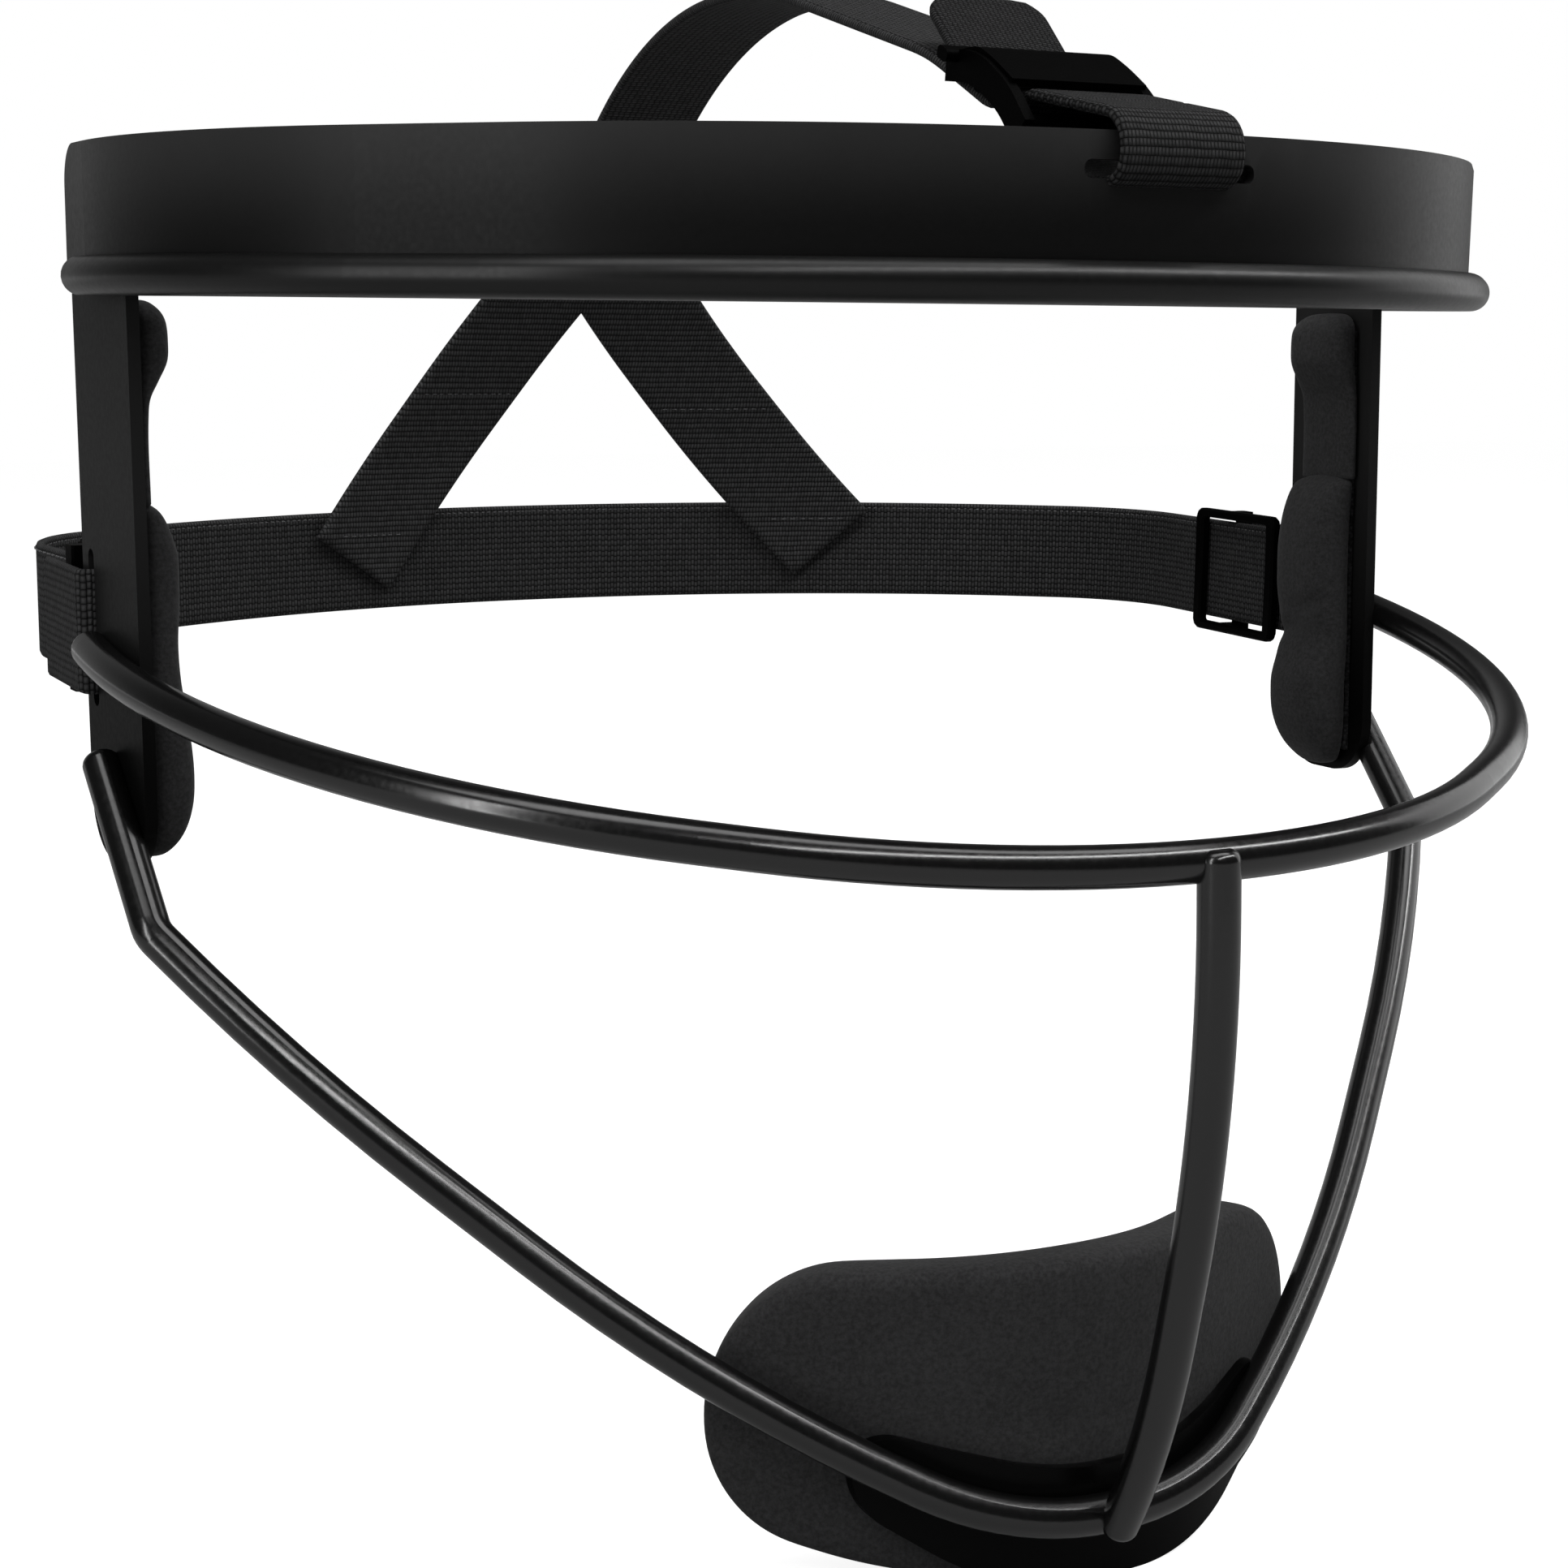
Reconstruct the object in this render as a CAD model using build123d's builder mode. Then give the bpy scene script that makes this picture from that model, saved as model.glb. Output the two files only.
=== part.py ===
from build123d import *
import math
import os

os.makedirs("parts", exist_ok=True)

# Sizes in millimetres. X runs to the wearer's left, -Y to the front, Z up.
# The origin lies on the mid-plane, level with the brow bar.

# Bars and sheet
bar_d = 4.8
bar_r = bar_d / 2
bar_end_share = 0.55
bar_end_r = bar_r * bar_end_share
plate_t = 1.6
chin_plate_t = 1.5
weld = 0.3
bar_x = 96.85
run_share = 0.98
cut_size = 300.0

# Brow bar, in a plane that falls to the front
brow_tilt = 2.0
brow_end_y = -14.0
brow_bend_y = -44.0
brow_front_x = 41.4
brow_front_y = -106.5
brow_bend_shares = [0.94, 0.469]

# Brow plate, heights above the brow bar's plane
brow_plate_end_y = -5.5
brow_plate_low = 1.5
brow_plate_top = 16.1
brow_plate_corner_r = 5.0
brow_slot_x = 0.9
brow_slot_l = 22.2
brow_slot_w = 2.0
brow_slot_rise = 12.0
brow_slot_corner_share = 0.45

# Side plates, which flare outward to the rear; slot measured from the rear edge
side_flare = 4.9
side_in = 2.75
side_front_x = bar_x - side_in
side_front_y = -26.6
side_w = 21.1
side_top_z = 0.2
side_low_z = -73.5
side_corner_r = 8.0
side_slot_rear = 3.4
side_slot_at = side_w - side_slot_rear
side_slot_z = -44.2
side_slot_l = 20.0
side_slot_w = 2.2

# Cheek hoop
hoop_tilt = 10.0
hoop_z = -44.5
hoop_slot_gap = 2.167
hoop_bend_out = 0.45
hoop_bend_x = bar_x + hoop_bend_out
hoop_bend_y = -69.1
hoop_front_x = 27.0
hoop_front_y = -120.0
hoop_bend_shares = [0.957, 0.496]

# Jaw bar, from the side plate over a sharp bend to the chin
jaw_end_y = -14.8
jaw_end_z = -59.9
jaw_kink_in = 1.4
jaw_kink_y = -33.7
jaw_kink_z = -79.4
jaw_chin_y = -99.0
jaw_chin_z = -146.6
jaw_x_shares = [0.874, 0.463, 0.134]
jaw_y_shares = [0.219, 0.727, 1.0]
jaw_z_shares = [0.222, 0.754, 1.0]
jaw_kink_share = 0.049
jaw_bend_shares = [jaw_kink_share, 0.921, 0.664, 0.475]

# Centre bar, which leans a little to the right at the top
center_lean = 0.75
center_top_y = -119.8
center_top_z = -63.8
center_upper_y = -119.9
center_upper_z = -92.7
center_lower_y = -108.4
center_lower_z = -134.5
center_low_y = -100.2
center_low_z = -148.4
center_bend_shares = [0.77, 0.86]

# Chin plate, set a little to the left
chin_plate_x = 1.4
chin_tip_x = 30.0
chin_tip_z = -135.0
chin_dip_x = 7.0
chin_dip_z = -141.5
chin_side_z = -145.0
chin_low_x = 14.0
chin_low_z = -155.5
chin_round_shares = [0.55, 0.48, 0.48, 0.55, 0.4, 0.5, 0.5, 0.4]

# Hook-and-loop layers behind the pads
tape_t = 0.8
tape_edge = 1.1
side_tape_top_z = -6.0
side_tape_low_z = -70.0
chin_tape_x = 19.0
chin_tape_top_z = -143.0
chin_tape_low_z = -151.0
tape_round_share = 0.2

# Brow pad, heights above the brow bar's plane
notch_gap = 0.6
brow_pad_t = 10.0
brow_pad_low = -2.3
brow_pad_top = 15.0
brow_pad_end_y = -27.0
pad_crown_share = 0.25
pad_lean_share = 0.1

# Side pads: height and thickness of each section from the top down
pad_front_at = 2.4
pad_rear_gap = 0.4
temple_zs = [-3.6, -6.0, -10.0, -13.5, -16.0, -18.0, -27.4]
temple_ts = [3.7, 4.8, 4.8, 3.6, 2.0, 1.2, 1.2]
cheek_zs = [-28.2, -30.0, -36.0, -44.0, -54.0, -60.0, -66.0, -70.0, -72.6]
cheek_ts = [1.6, 3.8, 5.8, 6.0, 5.0, 6.8, 6.8, 4.8, 2.2]
temple_side_shares = [0.12, 0.03, 0.0, 0.0, 0.0, 0.0, 0.0]
cheek_side_shares = [0.04, 0.0, 0.0, 0.0, 0.0, 0.0, 0.05, 0.14, 0.26]

# Chin pad
chin_pad_t = 9.0
chin_pad_x = 43.4
chin_pad_past = 2.6
chin_pad_top_z = -118.8
chin_pad_side_z = -147.3
chin_pad_low_x = 24.0
chin_pad_low_z = -154.0
chin_pad_start_share = 0.5
chin_pad_round_shares = [0.42, 0.42, 0.45, 0.3, 0.3, 0.45]

# Webbing
web_t = 1.3
web_w = 16.0
web_r = web_t / 2
gap = 0.3

# Back strap, in a plane that rises to the rear
strap_tilt = 2.12
strap_z = -44.4
strap_end_in = 2.6
strap_end_x = side_front_x - strap_end_in
strap_slot_gap = 2.033
strap_turn_out = 0.7
strap_turn_x = side_front_x + strap_turn_out
strap_turn_y = 39.6
strap_back_x = 47.0
strap_back_y = 76.1
strap_bend_shares = [0.276, 0.759]

# Strap ends folded back through the side slots
fold_out = 2.8
fold_x = side_front_x + fold_out
fold_end_y = 10.5
fold_end_out = 3.0
fold_end_x = side_front_x + fold_end_out
fold_bend_r = 1.0

# Sliders on the back strap
slider_y = 7.5
slider_l = 18.0
slider_w = 20.5
slider_t = 1.6
slider_bar_l = 3.0
slider_mid_l = 3.2
slider_shoulder_share = 0.62
slider_bend_share = 0.45
slider_slack = 0.5

# Straps over the crown, side view: corners from the front dip to the rear end
dip_angle = 27.0
dip_y = -67.5
dip_z = 24.7
crown_front_y = -21.5
crown_top_z = 38.3
crown_rear_y = 15.2
crown_bend_y = 58.0
crown_bend_z = 7.5
crown_low_y = 74.3
crown_low_z = -32.3
crown_end_y = 75.2
crown_end_z = -52.0
crown_bend_shares = [0.3, 0.313, 0.657, 0.5, 0.65]
crown_join_z = 14.0
right_leg_x = -36.4
right_leg_z = -42.0
right_leg_top_x = 1.6
left_leg_x = 48.6
left_leg_z = -40.8
left_leg_top_x = -3.6
leg_reach = 4.0

# Top adjuster, placed on the dipping run of the top strap
wrap_at = 15.0
mid_bar_l = 2.0
mid_bar_t = 1.8
rear_bar_at = 5.5
rear_bar_l = 2.4
rear_bar_t = 1.5
rear_bar_w = 22.6
front_bar_y = -91.0
front_bar_z = 14.3
front_bar_d = 2.2
rail_gap = 0.3
rail_t = 1.3
rail_deep = 3.6
rail_rear_y = -75.4
rail_rear_z = 22.3
rail_crest_y = -81.8
rail_crest_z = 21.5
rail_fall_y = -88.2
rail_fall_z = 17.4
rail_end_y = -91.6
rail_end_z = 13.4
rail_bend_shares = [0.45, 0.45]
bar_round_share = 0.4
cover_t = 1.0
cover_front_y = -88.9
cover_front_z = 19.0
cover_bend_shares = [0.4, 0.7]
wrap_bend_r = 1.4
wrap_end_share = 0.72
wrap_drop_share = 0.4
tail_lift_at = 7.0
tail_tip_at = 18.6
tail_tip_rise = 5.4
tail_bend_r = 6.0
tail_corner_share = 0.22

# Front loop, side view of its outer face
loop_front_y = -108.2
loop_top_z = 13.7
loop_low_z = 7.6
loop_inner_y = -101.6
loop_slack = 0.3
loop_rise = 0.6
loop_round_shares = [0.36, 0.36, 0.36, 0.5, 0.36]


def mirrored(points):
    """The points, then their mirror images in the mid-plane, as one path."""
    return points + [(-x, *rest) for x, *rest in reversed(points)]


def between(start, end, share):
    """The value at a share of the way from start to end."""
    return start + share * (end - start)


def runs_of(points):
    """Straight runs between the corners of a path."""
    path = [Vector(*point) for point in points]
    return [after - before for before, after in zip(path, path[1:])]


def bend_radii(points, shares):
    """Radius at each corner, its bend reaching a share of the shorter run."""
    runs = runs_of(points)
    pairs = list(zip(runs, runs[1:]))
    reaches = [share * min(a.length, b.length) for share, (a, b) in zip(shares, pairs)]
    room = [run_share * run.length / (a + b)
            for run, a, b in zip(runs[1:], reaches, reaches[1:])]
    ease = min([1, *room])
    return [ease * reach / math.tan(math.radians(a.get_angle(b)) / 2)
            for reach, (a, b) in zip(reaches, pairs)]


def inset(points, distance):
    """Corners of the line that runs a distance to the right of a path."""
    sides = [Vector(run.Y, -run.X).normalized() for run in runs_of(points)]
    moved = []
    for point, before, after in zip(points, [sides[0], *sides], [*sides, sides[-1]]):
        step = (before + after) * (distance / (1 + before.dot(after)))
        moved.append((point[0] + step.X, point[1] + step.Y))
    return moved


def inset_radii(points, radii, distance):
    """Radii of that line, smaller at right turns and larger at left turns."""
    runs = runs_of(points)
    changed = []
    for radius, a, b in zip(radii, runs, runs[1:]):
        turns_left = a.X * b.Y - a.Y * b.X > 0
        changed.append(radius + distance if turns_left else radius - distance)
    return changed


def strip(points, radii, near, far):
    """Outline between two lines parallel to a bent path."""
    first = FilletPolyline(*inset(points, near), radius=inset_radii(points, radii, near))
    second = FilletPolyline(*inset(points, far), radius=inset_radii(points, radii, far))
    Line(first @ 0, second @ 0)
    Line(first @ 1, second @ 1)


def loop_radii(points, shares):
    """Radii for a closed outline, each reaching a share of its shorter run."""
    around = [points[-1], *points, points[0]]
    runs = runs_of(around)
    return [share * min(a.length, b.length) / math.tan(math.radians(a.get_angle(b)) / 2)
            for share, a, b in zip(shares, runs, runs[1:])]


# Paths of the bars
brow_plane = Plane.XY.rotated((brow_tilt, 0, 0))
brow_points = mirrored(
    [(bar_x, brow_end_y), (bar_x, brow_bend_y), (brow_front_x, brow_front_y)])
brow_radii = bend_radii(brow_points, brow_bend_shares + brow_bend_shares[::-1])

hoop_plane = Plane((0, 0, hoop_z)).rotated((hoop_tilt, 0, 0))
flare_x = math.sin(math.radians(side_flare))
flare_y = math.cos(math.radians(side_flare))
side_slot_y = side_front_y + flare_y * side_slot_at - flare_x * plate_t / 2
hoop_end_y = side_slot_y - hoop_slot_gap
hoop_points = mirrored(
    [(bar_x, hoop_end_y), (hoop_bend_x, hoop_bend_y), (hoop_front_x, hoop_front_y)])
hoop_radii = bend_radii(hoop_points, hoop_bend_shares + hoop_bend_shares[::-1])

jaw_kink_x = bar_x - jaw_kink_in
jaw_half = [(bar_x, jaw_end_y, jaw_end_z), (jaw_kink_x, jaw_kink_y, jaw_kink_z)]
for x_share, y_share, z_share in zip(jaw_x_shares, jaw_y_shares, jaw_z_shares):
    jaw_half.append((jaw_kink_x * x_share,
                     between(jaw_kink_y, jaw_chin_y, y_share),
                     between(jaw_kink_z, jaw_chin_z, z_share)))
jaw_points = mirrored(jaw_half)
jaw_radii = bend_radii(jaw_points, jaw_bend_shares + jaw_bend_shares[::-1])

with BuildPart() as brow_bar:
    with BuildLine(brow_plane):
        brow_run = FilletPolyline(*brow_points, radius=brow_radii)
    with BuildSketch(Plane(origin=brow_run @ 0, z_dir=brow_run % 0)):
        Circle(bar_r)
    sweep()
    fillet(brow_bar.faces().filter_by(GeomType.PLANE).edges(), bar_end_r)

with BuildPart() as cheek_hoop:
    with BuildLine(hoop_plane):
        hoop_run = FilletPolyline(*hoop_points, radius=hoop_radii)
    with BuildSketch(Plane(origin=hoop_run @ 0, z_dir=hoop_run % 0)):
        Circle(bar_r)
    sweep()
    fillet(cheek_hoop.faces().filter_by(GeomType.PLANE).edges(), bar_end_r)

with BuildPart() as jaw_bar:
    with BuildLine():
        jaw_run = FilletPolyline(*jaw_points, radius=jaw_radii)
    with BuildSketch(Plane(origin=jaw_run @ 0, z_dir=jaw_run % 0)):
        Circle(bar_r)
    sweep()
    fillet(jaw_bar.faces().filter_by(GeomType.PLANE).edges(), bar_end_r)

# The centre bar's ends are coped to sit on the hoop and the jaw bar
lean = math.radians(center_lean)
center_plane = Plane(origin=(0, 0, center_low_z), x_dir=(0, 1, 0),
                     z_dir=(math.cos(lean), 0, math.sin(lean)))
center_points = [(center_top_y, center_top_z), (center_upper_y, center_upper_z),
                 (center_lower_y, center_lower_z), (center_low_y, center_low_z)]
center_points = [(y, z - center_low_z) for y, z in center_points]
center_radii = bend_radii(center_points, center_bend_shares)
with BuildPart() as center_bar:
    with BuildLine(center_plane):
        center_run = FilletPolyline(*center_points, radius=center_radii)
    with BuildSketch(Plane(origin=center_run @ 0, z_dir=center_run % 0)):
        Circle(bar_r)
    sweep()
    fillet(center_bar.faces().filter_by(GeomType.PLANE).edges(), bar_end_r)
    add([cheek_hoop.part, jaw_bar.part], mode=Mode.SUBTRACT)

# Brow plate, coped over the brow bar
plate_out = bar_r - weld - plate_t
plate_in = bar_r - weld
brow_plate_points = [(bar_x, brow_plate_end_y), *brow_points[1:-1], (-bar_x, brow_plate_end_y)]
brow_plate_h = brow_plate_top - brow_plate_low
brow_slot_plane = Plane(
    origin=brow_plane.from_local_coords((brow_slot_x, brow_front_y, brow_slot_rise)),
    x_dir=(1, 0, 0), z_dir=brow_plane.y_dir)
with BuildPart() as brow_plate:
    with BuildSketch(brow_plane.offset(brow_plate_low)):
        with BuildLine():
            strip(brow_plate_points, brow_radii, plate_out, plate_in)
        make_face()
    extrude(amount=brow_plate_h)
    fillet(brow_plate.edges().filter_by(Axis.X).group_by(Axis.Z)[-1], brow_plate_corner_r)
    with BuildSketch(brow_slot_plane):
        RectangleRounded(brow_slot_l, brow_slot_w, brow_slot_w * brow_slot_corner_share)
    extrude(amount=bar_d, both=True, mode=Mode.SUBTRACT)
    add(brow_bar.part, mode=Mode.SUBTRACT)

# Side plates, with shallow seats where the bars bear on them. Their plane's
# x axis runs rearward along the plate and its normal points outward.
side_plane = Plane(origin=(side_front_x, side_front_y, 0),
                   x_dir=(flare_x, flare_y, 0), z_dir=(flare_y, -flare_x, 0))
side_h = side_top_z - side_low_z
with BuildPart() as side_plate_left:
    with BuildSketch(side_plane) as side_outline:
        with Locations((0, side_low_z)):
            Rectangle(side_w, side_h, align=(Align.MIN, Align.MIN))
        fillet(side_outline.sketch_local.vertices().sort_by(Axis.Y)[:2], side_corner_r)
        with Locations((side_slot_at, side_slot_z)):
            SlotOverall(side_slot_l, side_slot_w, rotation=90, mode=Mode.SUBTRACT)
    extrude(amount=-plate_t)
    add([brow_bar.part, brow_plate.part, cheek_hoop.part, jaw_bar.part],
        mode=Mode.SUBTRACT)

with BuildPart() as side_plate_right:
    mirror(side_plate_left.part, about=Plane.YZ)

# Chin plate, bent like the jaw bar in plan and cut to its outline in front view
chin_plan = [point[:2] for point in jaw_points[3:-3]]
chin_plan_start = tuple(between(a, b, chin_pad_start_share)
                        for a, b in zip(jaw_points[3][:2], jaw_points[2][:2]))
chin_plan = [chin_plan_start, *chin_plan, (-chin_plan_start[0], chin_plan_start[1])]
chin_plan_shares = jaw_bend_shares[2:] + jaw_bend_shares[:1:-1]
chin_plan_radii = bend_radii(chin_plan, chin_plan_shares)
chin_deep = chin_pad_x + chin_pad_x
chin_outline = [(chin_tip_x, chin_tip_z), (chin_dip_x, chin_dip_z),
                (-chin_dip_x, chin_dip_z), (-chin_tip_x, chin_tip_z),
                (-chin_tip_x, chin_side_z), (-chin_low_x, chin_low_z),
                (chin_low_x, chin_low_z), (chin_tip_x, chin_side_z)]
chin_front = Plane.XZ.offset(-jaw_chin_y - chin_deep)
chin_plate_front = chin_front.move(Location((chin_plate_x, 0, 0)))
with BuildPart() as chin_plate:
    with BuildSketch(Plane.XY.offset(chin_low_z)):
        with BuildLine():
            strip(chin_plan, chin_plan_radii, plate_in, plate_in + chin_plate_t)
        make_face()
    extrude(amount=chin_tip_z - chin_low_z)
    with BuildSketch(chin_plate_front):
        with BuildLine():
            FilletPolyline(*chin_outline, close=True,
                           radius=loop_radii(chin_outline, chin_round_shares))
        make_face()
    extrude(amount=chin_deep * 2, mode=Mode.INTERSECT)
    add([jaw_bar.part, center_bar.part], mode=Mode.SUBTRACT)

# Hook-and-loop layers on the plates' inner faces. The brow's layer and pad are
# notched at the top, where the front loop passes over them.
notch_w = web_w + notch_gap + notch_gap
brow_base = plate_in + tape_t
with BuildPart() as brow_pad_tape:
    with BuildSketch(brow_plane.offset(bar_r + gap)):
        with BuildLine():
            strip(brow_plate_points, brow_radii, plate_in, brow_base)
        make_face()
    extrude(amount=brow_pad_top - tape_edge - bar_r - gap)
    with Locations((0, brow_pad_end_y - tape_edge, 0)):
        Box(cut_size, cut_size, cut_size, align=(Align.CENTER, Align.MIN, Align.CENTER),
            mode=Mode.SUBTRACT)
    with Locations((0, brow_front_y, loop_low_z - gap)):
        Box(notch_w, cut_size, cut_size, align=(Align.CENTER, Align.CENTER, Align.MIN),
            mode=Mode.SUBTRACT)

pad_rear_at = side_slot_at - side_slot_w / 2 - pad_rear_gap
side_base = plate_t + tape_t
with BuildPart() as side_pad_tape_left:
    with BuildSketch(side_plane.offset(-side_base)):
        with Locations((pad_front_at + tape_edge, side_tape_top_z)):
            Rectangle(pad_rear_at - pad_front_at - tape_edge - tape_edge,
                      side_tape_top_z - side_tape_low_z, align=(Align.MIN, Align.MAX))
    extrude(amount=tape_t)

with BuildPart() as side_pad_tape_right:
    mirror(side_pad_tape_left.part, about=Plane.YZ)

chin_base = plate_in + chin_plate_t + tape_t
with BuildPart() as chin_pad_tape:
    with BuildSketch(Plane.XY.offset(chin_tape_low_z)):
        with BuildLine():
            strip(chin_plan, chin_plan_radii, chin_base - tape_t, chin_base)
        make_face()
    extrude(amount=chin_tape_top_z - chin_tape_low_z)
    with BuildSketch(chin_front):
        with Locations((0, chin_tape_low_z)):
            Rectangle(chin_tape_x * 2, chin_tape_top_z - chin_tape_low_z,
                      align=(Align.CENTER, Align.MIN))
    extrude(amount=chin_deep * 2, mode=Mode.INTERSECT)

# Brow pad, a crowned section carried round the brow
brow_pad_h = brow_pad_top - brow_pad_low
brow_pad_corners = [(0, brow_pad_low),
                    (brow_pad_t * (1 - pad_crown_share), brow_pad_low + brow_pad_h * pad_lean_share),
                    (brow_pad_t, brow_pad_low + brow_pad_h / 2),
                    (brow_pad_t * (1 - pad_crown_share), brow_pad_top - brow_pad_h * pad_lean_share),
                    (0, brow_pad_top)]
brow_pad_points = inset(brow_points, brow_base)
brow_pad_plane = Plane(origin=brow_plane.from_local_coords(brow_pad_points[0]),
                       x_dir=(-1, 0, 0), z_dir=brow_plane.y_dir)
with BuildPart() as brow_pad:
    with BuildLine(brow_plane):
        FilletPolyline(*brow_pad_points, radius=inset_radii(brow_points, brow_radii, brow_base))
    with BuildSketch(brow_pad_plane):
        with BuildLine():
            Polyline(*brow_pad_corners[:2])
            ThreePointArc(*brow_pad_corners[1:4])
            Polyline(*brow_pad_corners[3:], brow_pad_corners[0])
        make_face()
    sweep()
    with Locations((0, brow_pad_end_y, 0)):
        Box(cut_size, cut_size, cut_size, align=(Align.CENTER, Align.MIN, Align.CENTER),
            mode=Mode.SUBTRACT)
    with Locations((0, brow_front_y, loop_low_z - gap)):
        Box(notch_w, cut_size, cut_size, align=(Align.CENTER, Align.CENTER, Align.MIN),
            mode=Mode.SUBTRACT)


def pad_plane(height):
    """Level plane with its origin at the side plate's front edge, y pointing inward."""
    return Plane(origin=(side_front_x, side_front_y, height),
                 x_dir=(flare_x, flare_y, 0), z_dir=(0, 0, 1))


def side_section(thickness, side_share):
    """Outline of a side pad at one height: flat back, leaning sides, crown."""
    width = (pad_rear_at - pad_front_at) * (1 - 2 * side_share)
    middle = (pad_rear_at + pad_front_at) / 2
    lean = min(width * pad_lean_share, thickness / 2)
    shoulder = side_base + thickness * (1 - pad_crown_share)
    front = middle - width / 2
    rear = middle + width / 2
    Line((front, side_base), (front + lean, shoulder))
    ThreePointArc((front + lean, shoulder), (middle, side_base + thickness),
                  (rear - lean, shoulder))
    Polyline((rear - lean, shoulder), (rear, side_base), (front, side_base))


with BuildPart() as temple_pad_left:
    for height, thickness, side_share in zip(temple_zs, temple_ts, temple_side_shares):
        with BuildSketch(pad_plane(height)):
            with BuildLine():
                side_section(thickness, side_share)
            make_face()
    loft(ruled=True)

with BuildPart() as temple_pad_right:
    mirror(temple_pad_left.part, about=Plane.YZ)

with BuildPart() as cheek_pad_left:
    for height, thickness, side_share in zip(cheek_zs, cheek_ts, cheek_side_shares):
        with BuildSketch(pad_plane(height)):
            with BuildLine():
                side_section(thickness, side_share)
            make_face()
    loft(ruled=True)

with BuildPart() as cheek_pad_right:
    mirror(cheek_pad_left.part, about=Plane.YZ)

# Chin pad, bent like the chin plate and rounded in front view
chin_pad_outline = [(chin_pad_x, chin_pad_top_z), (-chin_pad_x, chin_pad_top_z),
                    (-chin_pad_x, chin_pad_side_z), (-chin_pad_low_x, chin_pad_low_z),
                    (chin_pad_low_x, chin_pad_low_z), (chin_pad_x, chin_pad_side_z)]
chin_turn = sum([run.normalized() for run in runs_of(chin_plan[:3])], Vector(0, 0, 0))
chin_end = Vector(*chin_plan[1]) - chin_turn.normalized() * chin_pad_past
chin_pad_cuts = [Plane(origin=chin_end, z_dir=-chin_turn),
                 Plane(origin=(-chin_end.X, chin_end.Y), z_dir=(chin_turn.X, -chin_turn.Y))]
with BuildPart() as chin_pad:
    with BuildSketch(Plane.XY.offset(chin_pad_low_z)):
        with BuildLine():
            strip(chin_plan, chin_plan_radii, chin_base, chin_base + chin_pad_t)
        make_face()
    extrude(amount=chin_pad_top_z - chin_pad_low_z)
    with BuildSketch(chin_front):
        with BuildLine():
            FilletPolyline(*chin_pad_outline, close=True,
                           radius=loop_radii(chin_pad_outline, chin_pad_round_shares))
        make_face()
    extrude(amount=chin_deep * 2, mode=Mode.INTERSECT)
    for cut in chin_pad_cuts:
        split(bisect_by=cut, keep=Keep.BOTTOM)

# Back strap
strap_plane = Plane((0, 0, strap_z)).rotated((strap_tilt, 0, 0))
strap_end_y = side_slot_y + strap_slot_gap
strap_half = [(strap_end_x, strap_end_y), (strap_turn_x, strap_turn_y),
              (strap_back_x, strap_back_y)]
strap_points = mirrored(strap_half)
strap_radii = bend_radii(strap_points, strap_bend_shares + strap_bend_shares[::-1])
with BuildPart() as back_strap:
    with BuildSketch(strap_plane):
        with BuildLine():
            strip(strap_points, strap_radii, -web_r, web_r)
        make_face()
    extrude(amount=web_w / 2, both=True)

# The strap's end turns out through the slot and comes back outside
strap_run = runs_of(strap_half)[0].normalized()
fold_start = Vector(*strap_half[0]) - strap_run * gap
fold_turn = fold_start - strap_run * (strap_end_y - gap - side_slot_y)
fold_points = [(fold_start.X, fold_start.Y), (fold_turn.X, side_slot_y),
               (fold_x, side_slot_y), (fold_end_x, fold_end_y)]
with BuildPart() as slot_fold_left:
    with BuildSketch(strap_plane):
        with BuildLine():
            strip(fold_points, [fold_bend_r, fold_bend_r], -web_r, web_r)
        make_face()
    extrude(amount=web_w / 2, both=True)

with BuildPart() as slot_fold_right:
    mirror(slot_fold_left.part, about=Plane.YZ)

# Sliders: end bars inside the strap, middle bar outside it, rails joining them
slider_share = (slider_y - strap_end_y) / (strap_turn_y - strap_end_y)
slider_x = between(strap_end_x, strap_turn_x, slider_share)
slider_plane = Plane(origin=strap_plane.from_local_coords((slider_x, slider_y)),
                     x_dir=strap_plane.x_dir * strap_run.X + strap_plane.y_dir * strap_run.Y,
                     z_dir=strap_plane.z_dir)
slider_in = web_r + gap + slider_t / 2
slider_end = slider_l / 2
slider_shoulder = slider_end * slider_shoulder_share
slider_top = slider_mid_l / 2
slider_path = [(-slider_end, slider_in), (-slider_shoulder, slider_in),
               (-slider_top, -slider_in), (slider_top, -slider_in),
               (slider_shoulder, slider_in), (slider_end, slider_in)]
slider_radii = bend_radii(slider_path, [slider_bend_share] * 4)
rail_w = (slider_w - web_w) / 2 - slider_slack
with BuildPart() as back_adjuster_left:
    with BuildSketch(slider_plane.offset(slider_w / 2 - rail_w),
                     slider_plane.offset(-slider_w / 2)):
        with BuildLine():
            strip(slider_path, slider_radii, -slider_t / 2, slider_t / 2)
        make_face()
    extrude(amount=rail_w)
    with BuildSketch(slider_plane):
        with Locations(((slider_bar_l - slider_l) / 2, slider_in),
                       ((slider_l - slider_bar_l) / 2, slider_in)):
            Rectangle(slider_bar_l, slider_t)
        with Locations((0, -slider_in)):
            Rectangle(slider_mid_l, slider_t)
    extrude(amount=slider_w / 2, both=True)

with BuildPart() as back_adjuster_right:
    mirror(back_adjuster_left.part, about=Plane.YZ)

# Crown legs: slanting bands cut from a shell that is turned about the same
# upright axis as the back strap, so that their lower ends lie on its inner face
dip_run = Vector(math.cos(math.radians(dip_angle)), math.sin(math.radians(dip_angle)))


def on_dip(along, above):
    """Side-view point on the top strap's dipping run, from the adjuster's middle bar."""
    return (dip_y + dip_run.X * (along - wrap_at) - dip_run.Y * above,
            dip_z + dip_run.Y * (along - wrap_at) + dip_run.X * above)


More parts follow.
